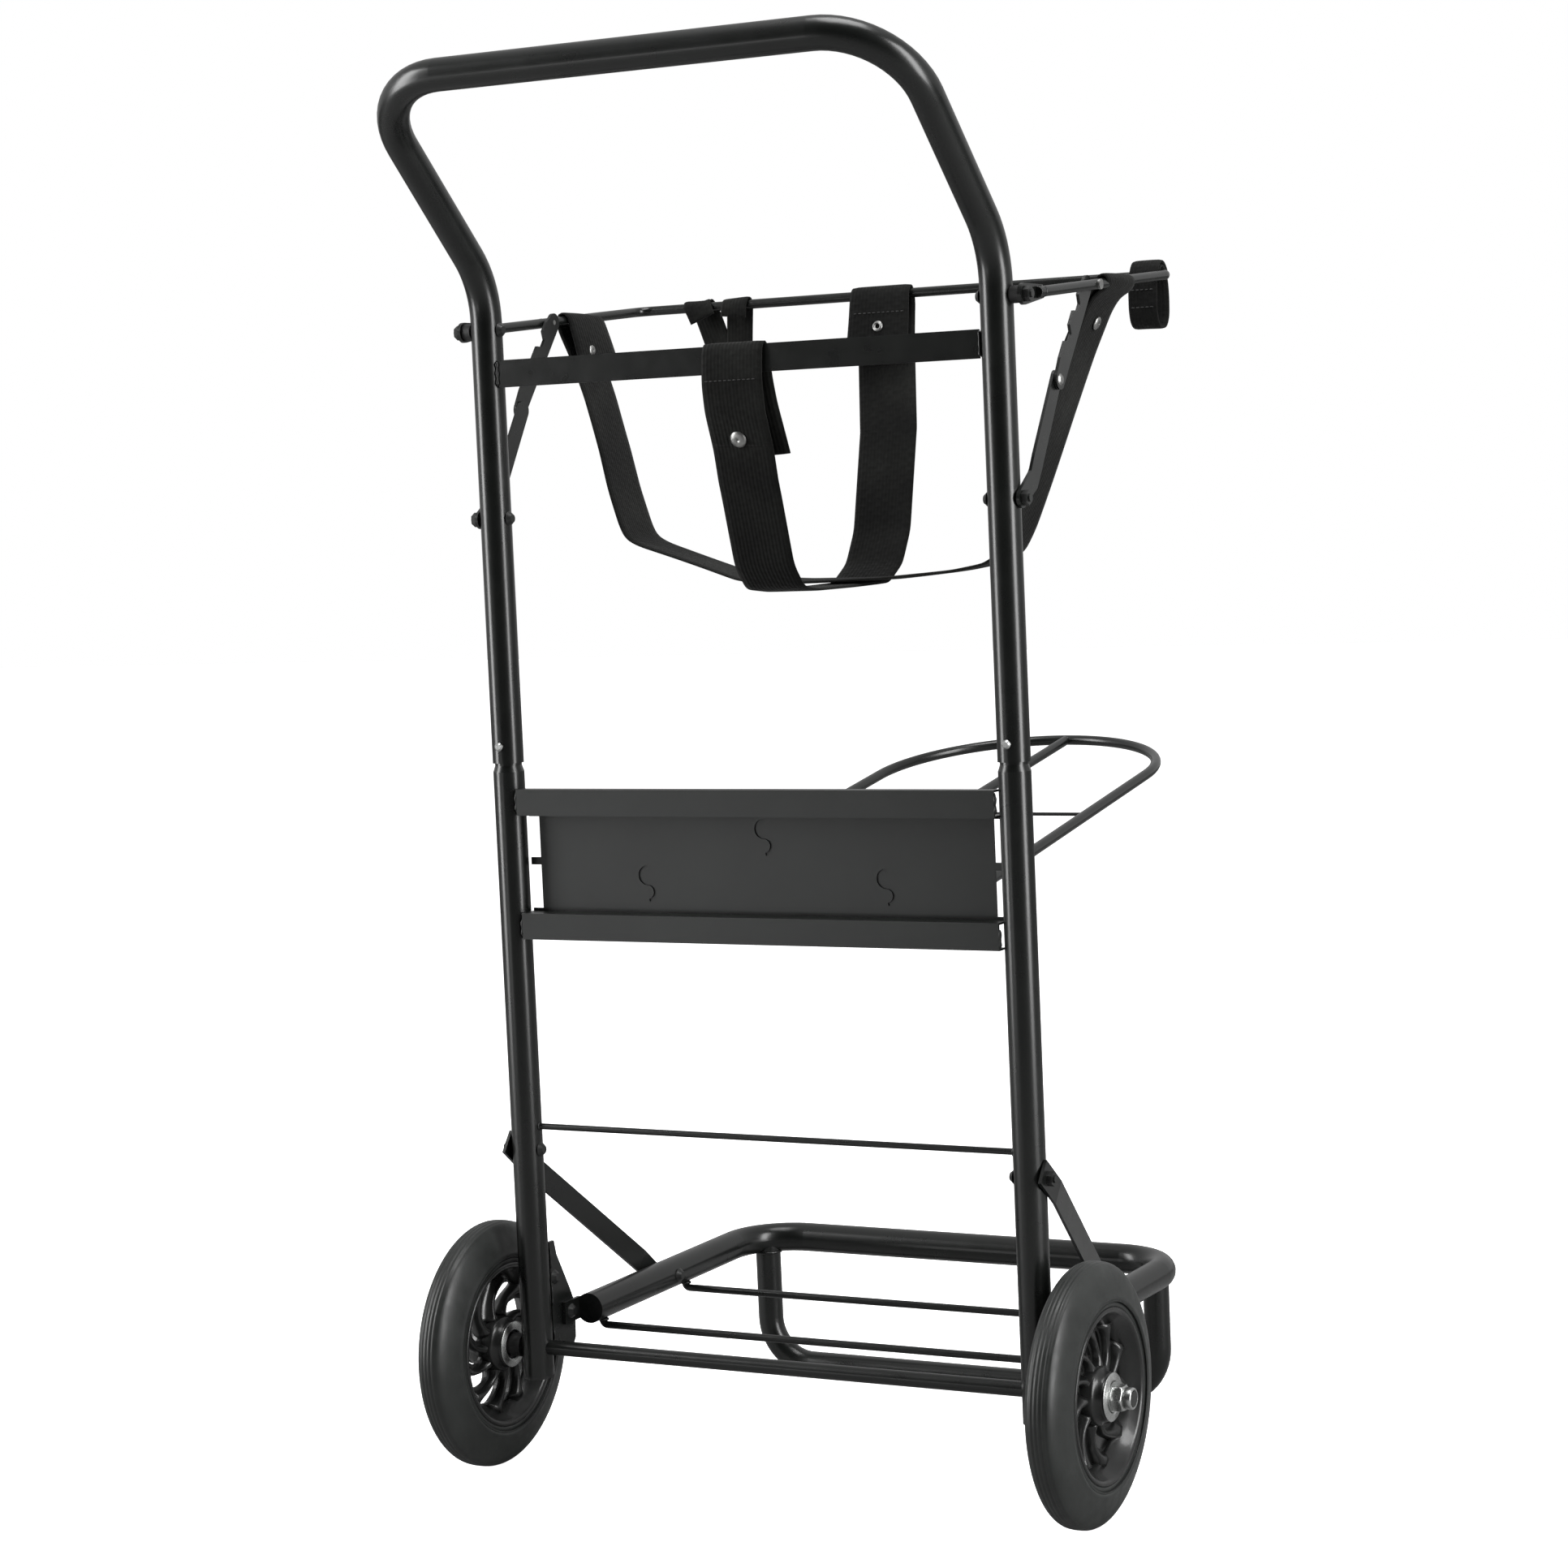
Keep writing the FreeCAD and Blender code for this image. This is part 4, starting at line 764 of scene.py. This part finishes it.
def along_y(pairs, x=0.0):
    """Points in a plane of constant X from (Y ahead of the axle, Z) pairs in millimetres."""
    return [Vector((x, AXLE.y + y / 1000, z / 1000)) for y, z in pairs]


def lengthwise_belt(cloth):
    """Lengthwise belt: folded over the crossbar, down into a cradle and over the front rod."""
    path = along_y([(17.5, 812), (11, 832), (4.2, 852), (0.6, 872), (-0.6, 893), (-1.6, 899.6), (-5, 901),
                    (-8.6, 899.4), (-9.6, 892), (-9.8, 868), (-5, 847), (9, 818), (21, 780), (36, 727),
                    (52, 709), (80, 706.2), (150, 706), (200, 706.5), (226, 721), (243, 748), (262, 830),
                    (282, 905), (292.8, 935), (293.8, 944), (291, 950.4), (286.5, 951.6), (282, 949.6),
                    (279.6, 943), (276, 925), (267, 890)])
    drift = [(0.008, 0.0), (0.0035, 0.13), (-0.001, 0.26), (0.0, 0.4), (0.001, 0.75),
             (-0.0115, 0.9), (-0.010, 1.0)]
    line = rounded_path(path, 0.003, 5)
    for index, point in enumerate(line):
        share = index / (len(line) - 1)
        for (x0, s0), (x1, s1) in zip(drift, drift[1:]):
            if s0 <= share <= s1:
                point.x = x0 + (x1 - x0) * (share - s0) / (s1 - s0)
    # The loop round the crossbar stays on the frame; the cradle in front of its rivet folds with the sling.
    rivet = next(index for index, point in enumerate(line) if index > 40 and point.z < 0.822)
    loop_share = rivet / (len(line) - 1)

    def belt_width(share):
        return BELT_WIDE + 0.005 * max(0, abs(share - 0.5) * 2 - 0.75) / 0.25

    def loop_width(share):
        return belt_width(share * loop_share)

    def cradle_width(share):
        return belt_width(loop_share + share * (1 - loop_share))

    loop = ribbon("Belt_crossbar_loop", line[:rivet + 1], X_AXIS, loop_width, BELT_THICK, cloth)
    piece(loop, "cart_frame", "webbing")
    cradle_belt = ribbon("Belt_lengthwise", line[rivet:], X_AXIS, cradle_width, BELT_THICK, cloth)
    piece(cradle_belt, "sling", "webbing", "belt_lengthwise")
    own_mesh(cradle_belt)


def crosswise_belt(cloth):
    """Cross belt, from a fold over the sling's left arm to one over its right arm."""
    ahead = 175
    arm_z = SLING_PIVOT_Z * 1000 + ahead * math.tan(SLING_TILT)
    left = [(-232.5, 903), (-235, 914), (-239, arm_z - 6), (-242, arm_z + 4.6), (-246, arm_z + 6.4),
            (-250.2, arm_z + 5), (-251.6, arm_z), (-250, arm_z - 9), (-241, 906), (-227, 869), (-213, 824),
            (-203, 786), (-195, 760), (-190, 750), (-178, 744)]
    cradle = [(-86, 713), (-40, 710), (0, 709.8), (40, 710.5), (105, 715.5)]
    right = [(134, 720), (148, 728), (158, 746), (171, 777), (200, 846), (216, 884), (230, 914), (238, 925),
             (248, arm_z - 6), (251.8, arm_z), (250.2, arm_z + 5), (246, arm_z + 6.4), (241.8, arm_z + 4.6),
             (238.4, arm_z - 5), (227, 915.5), (213, 885)]
    path = [Vector((x / 1000, AXLE.y + ahead / 1000, z / 1000)) for x, z in left + cradle + right]
    line = rounded_path(path, 0.003, 5)
    for index, point in enumerate(line):
        share = index / (len(line) - 1)
        point.y += 0.0125 * max(0, 1 - share / 0.22) - 0.0035 * max(0, (share - 0.8) / 0.2)

    def belt_width(share):
        return BELT_WIDE + 0.010 * max(0, abs(share - 0.5) * 2 - 0.8) / 0.2

    cross_belt = ribbon("Belt_cross", line, Y_AXIS, belt_width, BELT_THICK, cloth, 0.0004)
    piece(cross_belt, "sling", "webbing", "belt_cross")
    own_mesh(cross_belt)


def belt_rivets(steel):
    """Rivet caps and the eyelet that hold the belts' folded ends."""
    caps = bmesh.new()
    rearwards = Vector((0, -1, -0.42)).normalized()
    forwards = Vector((0, 1, 0.42)).normalized()
    cap_rivet(caps, Vector((-0.001, AXLE.y + 0.0035, 0.8255)), rearwards, 0.0068, 0.0022)
    cap_rivet(caps, Vector((-0.001, AXLE.y + 0.0163, 0.8225)), forwards, 0.005, 0.0014)
    piece(add_mesh("Belt_rivet_rear", caps, steel), "cart_frame", "zinc_steel")
    rest = bmesh.new()
    eyelet(rest, Vector((-0.010, AXLE.y + 0.2725, 0.9175)), Vector((0, -1, 0.25)).normalized(), 0.0046)
    cap_rivet(rest, Vector((-0.2321, AXLE.y + 0.179, 0.9085)), X_AXIS, 0.0046, 0.0015)
    cap_rivet(rest, Vector((0.2273, AXLE.y + 0.176, 0.9040)), Vector((0.913, 0, -0.408)), 0.0055, 0.0022)
    piece(add_mesh("Sling_rivets", rest, steel), "sling", "zinc_steel")


def belt_stitching(thread):
    """Rows of stitches across the lengthwise belt's two folds."""
    rows = bmesh.new()
    back = Vector((0, -1, -0.05)).normalized()
    start = Vector((-0.021, AXLE.y - 0.0112, 0.8705))
    stitch(rows, start, Vector((0.024, start.y, start.z)), back)
    stitches = add_mesh("Stitching_rear", rows, thread)
    piece(stitches, "cart_frame", "webbing")
    front_rows = bmesh.new()
    lift = Vector((0, -1, 0.25)).normalized()
    for z, y in ((0.929, 0.2748), (0.9005, 0.2676)):
        stitch(front_rows, Vector((-0.034, AXLE.y + y, z)), Vector((0.014, AXLE.y + y, z)), lift)
    piece(add_mesh("Stitching_front", front_rows, thread), "sling", "webbing")


def loop_strap(cloth, thread):
    """Loop of narrow webbing on the right end of the front rod, thicker where its end is folded under."""
    path = along_y([(277.5, 941), (281, 949), (285.5, 952.4), (290, 952), (295, 947.5), (298.4, 938),
                    (299.5, 926), (298.6, 912), (294, 904.4), (288, 901.8), (280.5, 902.6), (275.2, 907),
                    (272.6, 917), (272.9, 933), (275.6, 944.5), (279.5, 951.6), (284.5, 955.6), (290, 955.4),
                    (296, 950.8), (300, 943)], 0.2275)
    line = rounded_path(path, 0.0022, 3)
    strap = ribbon("Loop_strap", line, X_AXIS, TIE_WIDE, 0.0021, cloth, 0.0003)
    piece(strap, "sling", "webbing", "loop_strap")
    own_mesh(strap)
    rows = bmesh.new()
    lift = Vector((0, -1, 0))
    for z, y in ((0.9325, 0.2715), (0.9185, 0.2712)):
        stitch(rows, Vector((0.2175, AXLE.y + y, z)), Vector((0.2375, AXLE.y + y, z)), lift)
    stitches = add_mesh("Stitching_loop", rows, thread)
    piece(stitches, "sling", "webbing")
    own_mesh(stitches)


def tie_straps(cloth):
    """Two tails of a narrow tie strap hung over the front rod, one longer than the other."""
    rod_top = 0.948
    tails = (("Tie_strap_long", -0.188, 0.036, 830, "tie_strap_long"),
             ("Tie_strap_short", -0.150, -0.007, 850, "tie_strap_short"))
    for name, top_x, shift, low, node in tails:
        path = along_y([(281.2, 934), (280.9, 942), (282, 948.6), (287, 951.2), (292.4, 948.6), (293.4, 940),
                        (294, 920), (296, 880), (293, low)], top_x)
        line = rounded_path(path, 0.003, 4)
        for point in line:
            drop = max(0.0, (rod_top - point.z) / (rod_top - low / 1000))
            point.x += shift * drop ** 0.8
        strap = ribbon(name, line, X_AXIS, TIE_WIDE, 0.0016, cloth, 0.0005)
        piece(strap, "sling", "webbing", node)


# ---- put it together -----------------------------------------------------------------------------

def paint_frame(paints):
    """Gives every CAD node that stays its finish."""
    for name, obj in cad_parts.items():
        paint = paints["coat"]
        if name == "axle_washers" or name.startswith("snap_button"):
            paint = paints["zinc"]
        elif name.startswith(("stay_rivet", "arm_rivets")):
            paint = paints["dull"]
        elif name in ("post_plugs", "axle_spacers", "pivot_spacers"):
            paint = paints["plastic"]
        elif name.endswith("_bolts"):
            paint = paints["bolt"]
        elif name == "back_panel":
            paint = paints["panel"]
        obj.data.materials.clear()
        obj.data.materials.append(paint)


camera()
studio()
PAINTS = {
    "coat": coated_steel("Black_powder_coat", (0.0032, 0.0038, 0.0034), (0.0068, 0.0078, 0.0071),
                         0.26, 0.32, 0.02),
    "panel": coated_steel("Black_panel_coat", (0.0062, 0.0072, 0.0066), (0.0105, 0.0122, 0.0112),
                          0.36, 0.44, 0.03),
    "bolt": coated_steel("Black_bolt_finish", (0.005, 0.0055, 0.0052), (0.014, 0.015, 0.0145),
                         0.3, 0.5, 0.05),
    "weld": coated_steel("Coated_weld", (0.0045, 0.0052, 0.0048), (0.010, 0.011, 0.0105),
                         0.3, 0.45, 0.1),
    "zinc": bright_steel("Zinc_plate", (0.68, 0.69, 0.68), 0.26),
    "dull": bright_steel("Dull_steel", (0.42, 0.42, 0.41), 0.36),
    "plastic": moulded("Black_plastic", (0.022, 0.022, 0.022), 0.5, 0.0),
}
paint_frame(PAINTS)
RIM_PLASTIC = moulded("Rim_plastic", (0.009, 0.0096, 0.0092), 0.34, 0.3)
SEAL = moulded("Bearing_seal", (0.02, 0.02, 0.02), 0.5, 0.0)
RUBBER = rubber()
for side_name, side_sign in SIDES:
    tyre(side_name, side_sign, RUBBER)
    rim(side_name, side_sign, RIM_PLASTIC)
    bearings(side_name, side_sign, PAINTS["zinc"], SEAL)
axle_nuts(PAINTS["zinc"])
axle_caps(PAINTS["zinc"])
welds(PAINTS["weld"])
sling_welds(PAINTS["weld"])
CLOTH = webbing_material()
THREAD = thread_material()
lengthwise_belt(CLOTH)
crosswise_belt(CLOTH)
belt_rivets(PAINTS["dull"])
belt_stitching(THREAD)
loop_strap(CLOTH, THREAD)
tie_straps(CLOTH)
